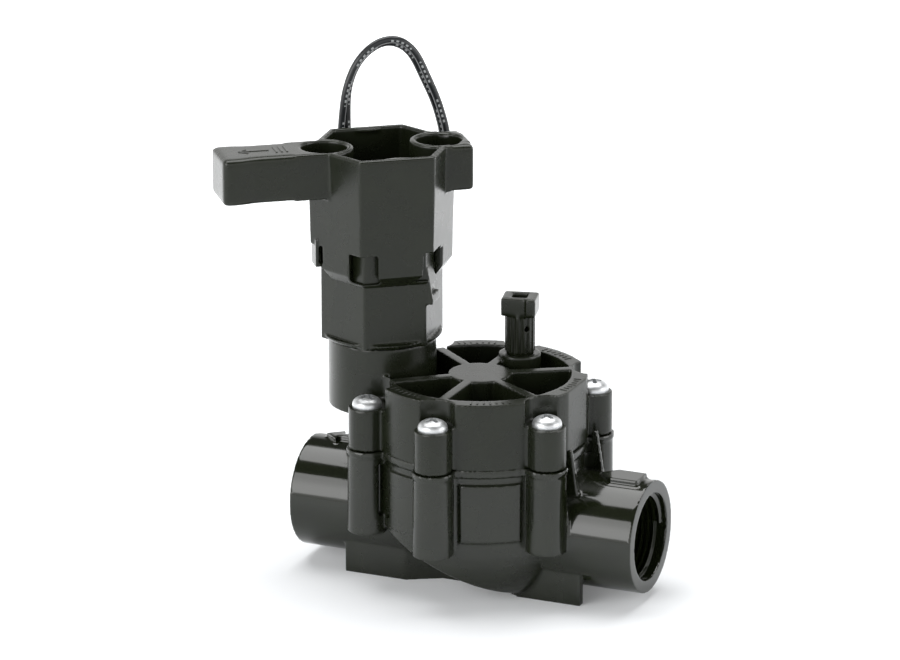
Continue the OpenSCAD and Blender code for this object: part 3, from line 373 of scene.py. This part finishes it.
def copy_of(mesh, name):
    """A new object in the scene with its own copy of a mesh."""
    piece = bpy.data.objects.new(name, mesh.copy())
    bpy.context.scene.collection.objects.link(piece)
    return piece


def group_where(piece, name, test):
    """Name of a new vertex group of the points of a piece that pass a test."""
    chosen = piece.vertex_groups.new(name=name)
    chosen.add([v.index for v in piece.data.vertices if test(v.co)], 1.0, "REPLACE")
    return chosen.name


def merged_copy(nodes, name):
    """A copy of CAD nodes as one object with its doubled points merged."""
    copies = [copy_of(frame["nodes"][node].data, name) for node in nodes]
    only(*copies)
    if len(copies) > 1:
        bpy.ops.object.join()
    bpy.ops.object.mode_set(mode="EDIT")
    bpy.ops.mesh.select_all(action="SELECT")
    bpy.ops.mesh.remove_doubles(threshold=1e-6)
    bpy.ops.object.mode_set(mode="OBJECT")
    return copies[0]


def moulded_copy(nodes, name, grain, ease, share, rounder=()):
    """A copy of CAD nodes, made one, whose edges are softened as a mould softens them.

    The mesh is remade on a grid of this grain, eased by a few passes of smoothing, more of them where a
    (test of a vertex, passes) pair asks for them, and thinned to a share of its faces. Normals weighted
    by area, which dress sets afterwards, then keep flat walls flat.
    """
    piece = merged_copy(nodes, name)
    remade = piece.modifiers.new("remade", "REMESH")
    remade.mode = "VOXEL"
    remade.voxel_size = grain
    eased = piece.modifiers.new("eased", "SMOOTH")
    eased.factor = 0.5
    eased.iterations = ease
    for test, passes in rounder:
        apply_all(piece)
        rounded = piece.modifiers.new("rounded", "SMOOTH")
        rounded.factor = 0.5
        rounded.iterations = passes
        rounded.vertex_group = group_where(piece, "rounder", test)
    thinned = piece.modifiers.new("thinned", "DECIMATE")
    thinned.ratio = share
    apply_all(piece)
    return piece


def cut(piece, *cutters):
    """Cuts the shapes of other objects out of a piece and removes them."""
    for cutter in cutters:
        knife = piece.modifiers.new("cut", "BOOLEAN")
        knife.operation = "DIFFERENCE"
        knife.solver = "EXACT"
        knife.object = cutter
        only(piece)
        bpy.ops.object.modifier_apply(modifier=knife.name)
        bpy.data.objects.remove(cutter)


def join(first, *others):
    """Joins objects into the first one."""
    only(first, *others)
    bpy.ops.object.join()
    return first


# Leads

def smooth_run(points, steps):
    """Catmull-Rom curve through points, with this many steps between neighbours."""
    made = []
    last = len(points) - 1
    for i in range(last):
        a, b, c, d = points[max(i - 1, 0)], points[i], points[i + 1], points[min(i + 2, last)]
        for k in range(steps):
            t = k / steps
            made.append(0.5 * (2 * b + (c - a) * t + (2 * a - 5 * b + 4 * c - d) * t ** 2
                               + (3 * b - a - 3 * c + d) * t ** 3))
    return made + [points[last]]


def back_place(along, out, up):
    """Point given along the back of the sleeve, out from the solenoid axis, and up, in millimetres."""
    turn = HANDLE_ANGLE - math.pi / 2
    axis_x = SOLENOID_AXIS.x / MM
    return Vector((axis_x + along * math.sin(turn) + out * math.cos(turn),
                   -along * math.cos(turn) + out * math.sin(turn), up))


def coil_run(centre_x, hand, diameter, rings=28):
    """Coil of a lead in millimetres: it spirals in, climbs in half a turn and spirals out."""
    back = COIL_TURNS + 0.25
    count = round(rings * (2 * COIL_TURNS + 0.5))
    run = []
    for i in range(count + 1):
        u = i / rings
        radius = COIL_R - COIL_STEP * (back - abs(back - u))
        angle = math.radians(hand * (90 - 360 * u) + 90)
        climb = min(1, max(0, (u - COIL_TURNS) * 2))
        run.append(Vector((centre_x + radius * math.cos(angle), COIL_Y + radius * math.sin(angle),
                           COIL_Z + COIL_LAYER * climb ** 2 * (3 - 2 * climb))))
    tail = Vector((0, -diameter, 0))
    return [run[0] + tail] + run + [run[-1] + tail]


def lead_tube(name, path, radius, sides):
    """Closed tube along a path in metres, with a UV map that runs round and along it."""
    rings, lengths, length = [], [], 0
    side = Vector((1, 0, 0))
    for i, point in enumerate(path):
        heading = (path[min(i + 1, len(path) - 1)] - path[max(i - 1, 0)]).normalized()
        side = (side - heading * side.dot(heading)).normalized()
        other = heading.cross(side)
        rings.append([point + radius * (math.cos(a) * side + math.sin(a) * other)
                      for a in (2 * math.pi * k / sides for k in range(sides))])
        length += (point - path[i - 1]).length if i else 0
        lengths.append(length)
    shape = bmesh.new()
    lay = shape.loops.layers.uv.new("Lay")
    points = [[shape.verts.new(p) for p in ring] for ring in rings]
    for i in range(len(points) - 1):
        for k in range(sides):
            face = shape.faces.new((points[i][k], points[i][(k + 1) % sides],
                                    points[i + 1][(k + 1) % sides], points[i + 1][k]))
            corners = ((k, i), (k + 1, i), (k + 1, i + 1), (k, i + 1))
            for loop, (around, along) in zip(face.loops, corners):
                loop[lay].uv = (around / sides, lengths[along])
    shape.faces.new(list(reversed(points[0])))
    shape.faces.new(points[-1])
    mesh = bpy.data.meshes.new(name)
    shape.to_mesh(mesh)
    shape.free()
    piece = bpy.data.objects.new(name, mesh)
    bpy.context.scene.collection.objects.link(piece)
    return piece, length


class VALVE_OT_leads(bpy.types.Operator):
    """Makes the two leads: the loop behind the sleeve and the coils put away behind the valve"""

    bl_idname = "valve.leads"
    bl_label = "Leads"

    def execute(self, context):
        sizes = context.scene.valve_sizes
        diameter = sizes.lead_diameter
        for letter, loop, floor, centre_x, hand in (("a", LEAD_A_LOOP, LEAD_A_FLOOR, COIL_A_X, 1),
                                                    ("b", LEAD_B_LOOP, LEAD_B_FLOOR, COIL_B_X, -1)):
            coil = coil_run(centre_x, hand, diameter / MM)
            hand_placed = [back_place(*p) for p in loop] + [Vector(p) for p in floor] + [coil[0]]
            path = [p * MM for p in smooth_run(hand_placed, 8) + coil[1:]]
            piece, length = lead_tube(f"lead_{letter}_tube", path, diameter / 2, sizes.lead_sides)
            dress(piece, "pvc_insulation", None,
                  (f"lead_{letter}", f"lead_{letter}_coil"), smooth=60)
            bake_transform(piece)
        return {"FINISHED"}


# Moulded pieces

# Shares of the faces that are left after thinning: large shells, and small pieces with finer grain
BODY_FACE_SHARE = 0.36
FACE_SHARE = 0.4
SMALL_FACE_SHARE = 0.5


class VALVE_OT_body(bpy.types.Operator):
    """Dresses the valve body: rounded edges and polished ports"""

    bl_idname = "valve.body"
    bl_label = "Valve body"

    def execute(self, context):
        sizes = context.scene.valve_sizes
        nodes = ("valve_body", "inlet_port", "outlet_port")
        piece = moulded_copy(nodes, "valve_body_moulding", sizes.body_grain, sizes.edge_passes,
                             BODY_FACE_SHARE)
        dress(piece, "polished_nylon", "valve", nodes)
        return {"FINISHED"}


class VALVE_OT_port_threads(bpy.types.Operator):
    """Winds the pipe thread into both port mouths"""

    bl_idname = "valve.port_threads"
    bl_label = "Port threads"

    # Half widths of the ridge's root and crest as shares of the pitch
    ROOT = 0.42
    CREST = 0.1
    # How deep the root is sunk in the wall, and how far the thread starts behind the port's face
    SUNK = 0.1 * MM
    SET_BACK = 2.2 * MM
    STEPS_PER_TURN = 48

    def execute(self, context):
        sizes = context.scene.valve_sizes
        pitch = sizes.thread_pitch
        turns = int(THREAD_DEPTH / pitch) - 2
        for name, sign in (("inlet_thread", 1), ("outlet_thread", -1)):
            bpy.ops.object.select_all(action="DESELECT")
            bpy.ops.mesh.primitive_circle_add(vertices=4, radius=pitch * 0.5, fill_type="NOTHING")
            piece = context.object
            piece.name = name
            crest = THREAD_WALL - sizes.thread_height
            root = THREAD_WALL + self.SUNK
            ridge = ((-self.ROOT, root), (-self.CREST, crest), (self.CREST, crest), (self.ROOT, root))
            for vertex, (share, radius) in zip(piece.data.vertices, ridge):
                vertex.co = (pitch * share, radius, 0)
            winding = piece.modifiers.new("winding", "SCREW")
            winding.axis = "X"
            winding.angle = 2 * math.pi * turns
            winding.screw_offset = -pitch * turns
            winding.steps = self.STEPS_PER_TURN * turns
            winding.render_steps = winding.steps
            winding.use_normal_calculate = True
            piece.location = (sign * (PORT_FACE - self.SET_BACK), 0, PORT_Z)
            if sign < 0:
                piece.rotation_euler.z = math.pi
            apply_all(piece)
            bpy.ops.object.mode_set(mode="EDIT")
            bpy.ops.mesh.select_all(action="DESELECT")
            bpy.ops.mesh.select_mode(type="EDGE")
            bpy.ops.mesh.select_non_manifold()
            bpy.ops.mesh.edge_face_add()
            bpy.ops.mesh.select_all(action="SELECT")
            bpy.ops.mesh.normals_make_consistent(inside=False)
            bpy.ops.object.mode_set(mode="OBJECT")
            dress(piece, "polished_nylon", "valve", smooth=30)
        return {"FINISHED"}


class VALVE_OT_bonnet(bpy.types.Operator):
    """Dresses the bonnet: rounded edges"""

    bl_idname = "valve.bonnet"
    bl_label = "Bonnet"

    def execute(self, context):
        sizes = context.scene.valve_sizes
        piece = moulded_copy(("bonnet",), "bonnet_moulding", sizes.body_grain, sizes.edge_passes,
                             FACE_SHARE)
        dress(piece, "black_nylon", "valve", ("bonnet",))
        return {"FINISHED"}


class VALVE_OT_solenoid_housing(bpy.types.Operator):
    """Dresses the hexagonal housing of the solenoid"""

    bl_idname = "valve.solenoid_housing"
    bl_label = "Solenoid housing"

    def execute(self, context):
        sizes = context.scene.valve_sizes
        piece = moulded_copy(("solenoid_housing",), "solenoid_housing_moulding", sizes.sleeve_grain,
                             sizes.edge_passes, FACE_SHARE)
        slimmer = piece.modifiers.new("slimmer", "DISPLACE")
        slimmer.mid_level = 0
        slimmer.strength = -SPIGOT_PLAY
        slimmer.vertex_group = group_where(piece, "spigot", self.spigot)
        dress(piece, "black_nylon", "solenoid", ("solenoid_housing",))
        return {"FINISHED"}

    @staticmethod
    def spigot(point):
        """Whether a point lies on the outer wall of the spigot in the bonnet's socket, or its shoulder."""
        off = point - SOLENOID_AXIS
        return point.z < SOCKET_TOP and math.hypot(off.x, off.y) > SPIGOT_WALL


class VALVE_OT_handle_sleeve(bpy.types.Operator):
    """Dresses the sleeve with its cup and handle"""

    bl_idname = "valve.handle_sleeve"
    bl_label = "Handle sleeve"

    # The thin cup takes this part of the handle's passes
    CUP_PART = 7
    # Reach of the handle's bar and of the lug from the solenoid axis, and of the lug's corners to each side
    BAR_FROM = 28 * MM
    LUG_FROM = 19 * MM
    CORNER_FROM = 5 * MM

    def execute(self, context):
        sizes = context.scene.valve_sizes
        piece = moulded_copy(("handle_sleeve",), "handle_sleeve_moulding", sizes.sleeve_grain,
                             sizes.edge_passes + 1, FACE_SHARE,
                             ((self.cup, sizes.handle_passes // self.CUP_PART),
                              (self.bar_or_lug, sizes.handle_passes)))
        dress(piece, "black_nylon", "solenoid", ("handle_sleeve",))
        return {"FINISHED"}

    @staticmethod
    def cup(point):
        """Whether a point lies on the cup, the handle or the lug."""
        return point.z > HANDLE_LOW

    def bar_or_lug(self, point):
        """Whether a point lies on the handle beyond its socket or on the outer corners of the lug."""
        along = (point - SOLENOID_AXIS).dot(HANDLE_WAY)
        across = abs((point - SOLENOID_AXIS).dot(HANDLE_SIDE))
        lug_corner = along < -self.LUG_FROM and across > self.CORNER_FROM
        return point.z > HANDLE_LOW and (along > self.BAR_FROM or lug_corner)


class VALVE_OT_bleed_screw(bpy.types.Operator):
    """Dresses the bleed screw"""

    bl_idname = "valve.bleed_screw"
    bl_label = "Bleed screw"

    GRAIN = 0.2 * MM
    PASSES = 2
    HEAD_PASSES = 80

    def execute(self, context):
        piece = moulded_copy(("bleed_screw",), "bleed_screw_moulding", self.GRAIN, self.PASSES,
                             SMALL_FACE_SHARE, ((self.head, self.HEAD_PASSES),))
        dress(piece, "black_nylon", "bleed", ("bleed_screw",))
        return {"FINISHED"}

    @staticmethod
    def head(point):
        """Whether a point lies on the key head."""
        return point.z > BLEED_HEAD_LOW


class VALVE_OT_bonnet_screws(bpy.types.Operator):
    """Models one pan-head screw with a cross recess and copies it to all six bosses"""

    bl_idname = "valve.bonnet_screws"
    bl_label = "Bonnet screws"

    BRIM = 0.7 * MM
    DOME_STEPS = 7
    # Width, length and depth of each arm of the cross recess, and the bevel of the head's edges
    RECESS = (1.25 * MM, 4.6 * MM, 1.9 * MM)
    BEVEL = 0.16 * MM
    # Degrees that each next screw was driven further
    DRIVEN = 37

    def execute(self, context):
        sizes = context.scene.valve_sizes
        head = self.head(sizes.screw_head / 2, sizes.screw_dome)
        for turn in (0.0, math.pi / 2):
            bpy.ops.object.select_all(action="DESELECT")
            bpy.ops.mesh.primitive_cube_add(size=1, location=(0, 0, sizes.screw_dome))
            blade = context.object
            blade.scale = (self.RECESS[0], self.RECESS[1], 2 * self.RECESS[2])
            blade.rotation_euler.z = turn
            apply_all(blade)
            cut(head, blade)
        rounded = head.modifiers.new("rounded", "BEVEL")
        rounded.width = self.BEVEL
        rounded.segments = 2
        rounded.limit_method = "ANGLE"
        rounded.angle_limit = math.radians(40)
        apply_all(head)
        bpy.ops.object.select_all(action="DESELECT")
        bpy.ops.mesh.primitive_cylinder_add(vertices=24, radius=sizes.screw_shank / 2, depth=SCREW_LENGTH,
                                            location=(0, 0, -SCREW_LENGTH / 2))
        shank = context.object
        apply_all(shank)
        screw = join(head, shank)
        copies = []
        for number, (out, angle) in enumerate(SCREWS):
            copy = copy_of(screw.data, "screw")
            copy.location = (out * MM * math.cos(math.radians(angle)),
                             out * MM * math.sin(math.radians(angle)), SCREW_SEAT)
            copy.rotation_euler.z = math.radians(angle + self.DRIVEN * number)
            apply_all(copy)
            copies.append(copy)
        bpy.data.objects.remove(screw)
        piece = join(*copies)
        piece.name = "bonnet_screw_set"
        dress(piece, "stainless_steel", "valve", ("bonnet_screws",), smooth=40)
        return {"FINISHED"}

    def head(self, radius, dome):
        """Pan head on the plane z = 0: a short brim that is drawn up and in to a dome."""
        bpy.ops.object.select_all(action="DESELECT")
        bpy.ops.mesh.primitive_cylinder_add(vertices=40, radius=radius, depth=self.BRIM,
                                            location=(0, 0, self.BRIM / 2))
        head = bpy.context.object
        apply_all(head)
        bpy.ops.object.mode_set(mode="EDIT")
        bpy.ops.mesh.select_mode(type="FACE")
        bpy.ops.mesh.select_all(action="DESELECT")
        bpy.ops.object.mode_set(mode="OBJECT")
        for face in head.data.polygons:
            face.select = face.normal.z > 0.9
        bpy.ops.object.mode_set(mode="EDIT")
        wide, high = 1.0, 0.0
        for step in range(1, self.DOME_STEPS + 1):
            angle = math.pi / 2 * step / (self.DOME_STEPS + 0.6)
            next_wide, next_high = math.cos(angle), math.sin(angle)
            bpy.ops.mesh.extrude_region_move(TRANSFORM_OT_translate={
                "value": (0, 0, (next_high - high) * (dome - self.BRIM))})
            bpy.ops.transform.resize(value=(next_wide / wide, next_wide / wide, 1))
            wide, high = next_wide, next_high
        bpy.ops.object.mode_set(mode="OBJECT")
        return head


class VALVE_OT_raised_marks(bpy.types.Operator):
    """Sets plain raised marks on the handle and the rim: an arrow, bars and rows of ticks"""

    bl_idname = "valve.raised_marks"
    bl_label = "Raised marks"

    # Bars of the handle's marks in millimetres: along the handle, across it, length and turn in degrees
    HANDLE_BARS = [(39, 0, 9, 0), (42.3, 1, 3.1, -38), (42.3, -1, 3.1, 38),
                   (32.6, 0, 6, 90), (31, 0, 6, 90), (29.4, 0, 6, 90)]
    TICK_MIDDLES = (-115, -61, 0, 61, 115)
    TICKS = 7
    TICK_STEP = 3.6
    # Width and height of a bar, and the bevel of its edges
    BAR = (0.55 * MM, 0.36 * MM)
    BEVEL = 0.12 * MM
    TICK_LENGTH = 2.2 * MM
    SHORT_TICK = 0.7

    def execute(self, context):
        bar = self.bar(context)
        spots = []
        for along, across, length, turn in self.HANDLE_BARS:
            place = SOLENOID_AXIS + HANDLE_WAY * along * MM + HANDLE_SIDE * across * MM
            spots.append(((place.x, place.y, HANDLE_TOP), HANDLE_ANGLE + math.radians(turn), length * MM))
        self.lay(bar, spots, "handle_marks", "solenoid")
        spots = []
        for middle in self.TICK_MIDDLES:
            for number in range(self.TICKS):
                angle = math.radians(middle + (number - (self.TICKS - 1) / 2) * self.TICK_STEP)
                length = self.TICK_LENGTH * (self.SHORT_TICK if number % 3 else 1)
                place = (RIM_MIDDLE * math.cos(angle), RIM_MIDDLE * math.sin(angle), RIM_TOP)
                spots.append((place, angle, length))
        self.lay(bar, spots, "rim_ticks", "valve")
        bpy.data.objects.remove(bar)
        return {"FINISHED"}

    def bar(self, context):
        """One bar of unit length along X, half sunk in the plane z = 0, with rounded edges."""
        bpy.ops.object.select_all(action="DESELECT")
        bpy.ops.mesh.primitive_cube_add(size=1)
        bar = context.object
        bar.scale = (1, self.BAR[0], self.BAR[1])
        apply_all(bar)
        rounded = bar.modifiers.new("rounded", "BEVEL")
        rounded.width = self.BEVEL
        rounded.segments = 2
        apply_all(bar)
        return bar

    def lay(self, bar, spots, name, body):
        """Copies the bar to each (place, turn, length) and joins the copies."""
        copies = []
        for place, turn, length in spots:
            copy = copy_of(bar.data, name)
            copy.location = place
            copy.rotation_euler.z = turn
            copy.scale.x = length
            apply_all(copy)
            copies.append(copy)
        piece = join(*copies)
        piece.name = name
        dress(piece, "black_nylon", body)


class VALVE_OT_lead_fittings(bpy.types.Operator):
    """Rounds the grommet that the leads come out of and the ties round their coils"""

    bl_idname = "valve.lead_fittings"
    bl_label = "Grommet and ties"

    GRAIN = 0.16 * MM
    PASSES = 3

    def execute(self, context):
        piece = moulded_copy(("lead_grommet",), "lead_grommet_moulding", self.GRAIN, self.PASSES,
                             SMALL_FACE_SHARE)
        dress(piece, "moulded_rubber", "solenoid", ("lead_grommet",))
        piece = moulded_copy(("coil_ties",), "coil_tie_bands", self.GRAIN, self.PASSES, SMALL_FACE_SHARE)
        dress(piece, "natural_nylon", "valve", ("coil_ties",))
        return {"FINISHED"}


class VALVE_OT_diaphragm(bpy.types.Operator):
    """Makes one sector of the diaphragm and copies it round"""

    bl_idname = "valve.diaphragm"
    bl_label = "Diaphragm"

    SECTORS = 8
    GRAIN = 0.3 * MM
    PASSES = 2
    # Radii between which the rubber bends: it moves with the core inside and is held by the rim outside
    CORE_R = 16.5 * MM
    RIM_R = 23 * MM

    def execute(self, context):
        sector = moulded_copy(("diaphragm",), "diaphragm_sector", self.GRAIN, self.PASSES, SMALL_FACE_SHARE)
        half = math.pi / self.SECTORS
        only(sector)
        bpy.ops.object.mode_set(mode="EDIT")
        for side in (1, -1):
            bpy.ops.mesh.select_all(action="SELECT")
            bpy.ops.mesh.bisect(plane_co=(0, 0, 0), use_fill=True, clear_outer=True,
                                plane_no=(-math.sin(half), side * math.cos(half), 0))
        bpy.ops.object.mode_set(mode="OBJECT")
        for number in range(self.SECTORS):
            angle = 2 * half * number
            piece = copy_of(sector.data, f"diaphragm_sector_{number + 1}")
            piece.rotation_euler.z = angle
            dress(piece, "moulded_rubber", None, ("diaphragm",))
            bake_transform(piece)
        bpy.data.objects.remove(sector)
        return {"FINISHED"}


class VALVE_OT_springs(bpy.types.Operator):
    """Rounds the wire of both springs"""

    bl_idname = "valve.springs"
    bl_label = "Springs"

    # Node, body, joint, height of the fixed end, travel of the other end, swelling that rounding calls for
    SPRINGS = (("diaphragm_spring", "valve", "diaphragm_lift", 61 * MM, 5 * MM, 0.08 * MM),
               ("plunger_spring", "solenoid", "plunger_lift", 92.2 * MM, 2 * MM, 0.05 * MM))

    def execute(self, context):
        for node, body, joint, fixed, travel, swelling in self.SPRINGS:
            piece = merged_copy((node,), node + "_wire")
            rounded = piece.modifiers.new("rounded", "SUBSURF")
            rounded.levels = rounded.render_levels = 1
            swollen = piece.modifiers.new("swollen", "DISPLACE")
            swollen.mid_level = 0
            swollen.strength = swelling
            dress(piece, "stainless_steel", body, (node,), smooth=60)
            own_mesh(piece)
        return {"FINISHED"}


class VALVE_OT_plain_nodes(bpy.types.Operator):
    """Gives the CAD nodes that stay as they are their materials"""

    bl_idname = "valve.plain_nodes"
    bl_label = "Seals and coil"

    FINISH = {
        "moulded_rubber": ("plunger_seal", "solenoid_oring", "bleed_oring"),
        "black_nylon": ("diaphragm_plate", "diaphragm_guide", "plunger_keeper"),
        "grey_acetal": ("inlet_filter",),
        "stainless_steel": ("diaphragm_screw", "core_tube", "pole_piece", "plunger"),
        "natural_nylon": ("coil_bobbin",),
        "bare_copper": ("coil_winding", "lead_a_end", "lead_b_end"),
        "zinc_plate": ("flux_shell", "flux_washers"),
        "cast_resin": ("coil_potting",),
    }

    def execute(self, context):
        for material, nodes in self.FINISH.items():
            for node in nodes:
                mesh = frame["nodes"][node].data
                mesh.materials.clear()
                mesh.materials.append(finishes()[material])
        return {"FINISHED"}


# Stage

CAMERA_TARGET = Vector((-9.77, 0, 76.34)) * MM
CAMERA_AZIMUTH = math.radians(23.56)
CAMERA_ELEVATION = math.radians(17.51)
CAMERA_DISTANCE = 1506.5 * MM
CAMERA_LENS = 201.19
# Painted reflection: behind the valve the floor glows in reflections only, and the valve's faces mirror this glow
# as a highlight; it grows along this way between two distances in metres
PAINTED_REFLECTION_WAY = (-0.6, 0.8, 0)
PAINTED_REFLECTION_START, PAINTED_REFLECTION_FULL, PAINTED_REFLECTION_GLOW = 0.04, 0.3, 1.1
# Glow of the floor before the camera: it turns white between two distances from the valve in metres
SWEEP_START, SWEEP_END, SWEEP_LOW = 0.2, 0.8, 0.1
# Light of the world: bright up to the first height on the unit sphere, dim from the second
SKY_TURN, SKY_TOP, SKY_BRIGHT, SKY_DIM = 0.36, 0.56, 1.25, 0.1
# Name, place and size in metres and power in watts of each lamp, and the point they are aimed at
LAMPS = (
    ("front softbox", (-0.55, -1.15, 0.58), (0.9, 0.9), 9.0),
    ("top softbox", (-0.15, 0.21, 1.03), (1.2, 0.74), 12.0),
    ("right panel", (1.4, 0.3, 0.6), (0.9, 1.0), 6.0),
)
LAMP_AIM = Vector((-0.01, 0, 0.06))


def seen_rays(tree):
    """Light path node, and the value that is 1 for rays from the camera, also those through glass."""
    path = tree.nodes.new("ShaderNodeLightPath")
    seen = add_node(tree, "ShaderNodeMath",
                    [(path.outputs["Is Camera Ray"], 0), (path.outputs["Is Transmission Ray"], 1)],
                    operation="MAXIMUM")
    return path, seen.outputs[0]


class VALVE_OT_stage(bpy.types.Operator):
    """Sets the camera, the floor, the lamps and the world"""

    bl_idname = "valve.stage"
    bl_label = "Stage"

    def execute(self, context):
        scene = context.scene
        scene.view_settings.view_transform = "Standard"
        self.camera(scene)
        self.floor(scene)
        self.lamps()
        self.world(scene)
        return {"FINISHED"}

    def camera(self, scene):
        """Sets the camera that was fitted to the photograph."""
        back = Vector((math.sin(CAMERA_AZIMUTH) * math.cos(CAMERA_ELEVATION),
                       -math.cos(CAMERA_AZIMUTH) * math.cos(CAMERA_ELEVATION), math.sin(CAMERA_ELEVATION)))
        bpy.ops.object.camera_add(location=CAMERA_TARGET + back * CAMERA_DISTANCE)
        camera = bpy.context.object
        camera.rotation_euler = (-back).to_track_quat("-Z", "Y").to_euler()
        camera.data.sensor_width = 36
        camera.data.sensor_fit = "HORIZONTAL"
        camera.data.lens = CAMERA_LENS
        scene.camera = camera

    def floor(self, scene):
        """Lays the pale floor, which turns white away from the valve and keeps its shadow; behind the valve it
        glows in reflections only, a painted reflection on the valve.
        """
        bpy.ops.object.select_all(action="DESELECT")
        bpy.ops.mesh.primitive_plane_add(size=12)
        floor = bpy.context.object
        floor.name = "studio_floor"
        tree, shader, place = new_material("studio_paper")
        shader.inputs["Base Color"].default_value = [*scene.valve_colours.floor, 1]
        shader.inputs["Roughness"].default_value = 0.9
        shader.inputs["Specular IOR Level"].default_value = 0.1
        path, seen = seen_rays(tree)
        reach = add_node(tree, "ShaderNodeVectorMath", [(place, 0)], operation="LENGTH")
        sweep = add_node(tree, "ShaderNodeMapRange", [(reach.outputs["Value"], "Value")],
                         From_Min=SWEEP_START, From_Max=SWEEP_END, To_Min=SWEEP_LOW, To_Max=1.0)
        paper = add_node(tree, "ShaderNodeMath", [(seen, 0), (sweep.outputs["Result"], 1)],
                         operation="MULTIPLY")
        # Painted reflection: behind the valve the floor glows, and only glossy rays see it
        behind = add_node(tree, "ShaderNodeVectorMath", [(place, 0)], operation="DOT_PRODUCT")
        behind.inputs[1].default_value = PAINTED_REFLECTION_WAY
        painted_reflection = add_node(tree, "ShaderNodeMapRange", [(behind.outputs["Value"], "Value")],
                             From_Min=PAINTED_REFLECTION_START, From_Max=PAINTED_REFLECTION_FULL, To_Max=PAINTED_REFLECTION_GLOW)
        mirrored = add_node(tree, "ShaderNodeMath",
                            [(path.outputs["Is Glossy Ray"], 0), (painted_reflection.outputs["Result"], 1)],
                            operation="MULTIPLY")
        glow = add_node(tree, "ShaderNodeMath", [(paper.outputs[0], 0), (mirrored.outputs[0], 1)],
                        operation="ADD")
        shader.inputs["Emission Color"].default_value = (1, 1, 1, 1)
        tree.links.new(glow.outputs[0], shader.inputs["Emission Strength"])
        floor.data.materials.append(bpy.data.materials["studio_paper"])

    def lamps(self):
        """Hangs the lamps and aims them at the valve."""
        for name, place, size, power in LAMPS:
            bpy.ops.object.light_add(type="AREA", location=place)
            lamp = bpy.context.object
            lamp.name = name
            lamp.data.shape = "RECTANGLE"
            lamp.data.size, lamp.data.size_y = size
            lamp.data.energy = power
            aim = LAMP_AIM - Vector(place)
            lamp.rotation_euler = aim.to_track_quat("-Z", "Y").to_euler()

    def world(self, scene):
        """Lights the studio evenly up to a height and shows the camera plain white."""
        world = bpy.data.worlds.new("white_studio")
        scene.world = world
        world.use_nodes = True
        tree = world.node_tree
        background = tree.nodes["Background"]
        way = tree.nodes.new("ShaderNodeTexCoord").outputs["Generated"]
        split = add_node(tree, "ShaderNodeSeparateXYZ", [(way, "Vector")])
        height = add_node(tree, "ShaderNodeMapRange", [(split.outputs["Z"], "Value")],
                          From_Min=SKY_TURN, From_Max=SKY_TOP, To_Min=SKY_BRIGHT, To_Max=SKY_DIM)
        _, seen = seen_rays(tree)
        strength = add_node(tree, "ShaderNodeMath", [(height.outputs["Result"], 0), (seen, 1)],
                            operation="MAXIMUM")
        background.inputs["Color"].default_value = (1, 1, 1, 1)
        tree.links.new(strength.outputs[0], background.inputs["Strength"])


class VALVE_PT_panel(bpy.types.Panel):
    """Lists the valve's pieces in the sidebar"""

    bl_idname = "VALVE_PT_panel"
    bl_label = "Zone valve"
    bl_space_type = "VIEW_3D"
    bl_region_type = "UI"
    bl_category = "Zone valve"

    def draw(self, context):
        for operator in OPERATORS:
            self.layout.operator(operator.bl_idname)


OPERATORS = (
    VALVE_OT_stage,
    VALVE_OT_leads,
    VALVE_OT_body,
    VALVE_OT_port_threads,
    VALVE_OT_bonnet,
    VALVE_OT_solenoid_housing,
    VALVE_OT_handle_sleeve,
    VALVE_OT_bleed_screw,
    VALVE_OT_bonnet_screws,
    VALVE_OT_raised_marks,
    VALVE_OT_lead_fittings,
    VALVE_OT_diaphragm,
    VALVE_OT_springs,
    VALVE_OT_plain_nodes,
)
CLASSES = (ValveSizes, ValveColours, *OPERATORS, VALVE_PT_panel)


def register():
    """Registers the classes and hangs their values on the scene."""
    for item in CLASSES:
        bpy.utils.register_class(item)
    bpy.types.Scene.valve_sizes = PointerProperty(type=ValveSizes)
    bpy.types.Scene.valve_colours = PointerProperty(type=ValveColours)


def unregister():
    """Takes the classes and values away again."""
    del bpy.types.Scene.valve_sizes
    del bpy.types.Scene.valve_colours
    for item in reversed(CLASSES):
        bpy.utils.unregister_class(item)


def main():
    """Makes every piece in order."""
    register()
    for operator in OPERATORS:
        group, name = operator.bl_idname.split(".")
        getattr(getattr(bpy.ops, group), name)()


if __name__ == "__main__":
    main()
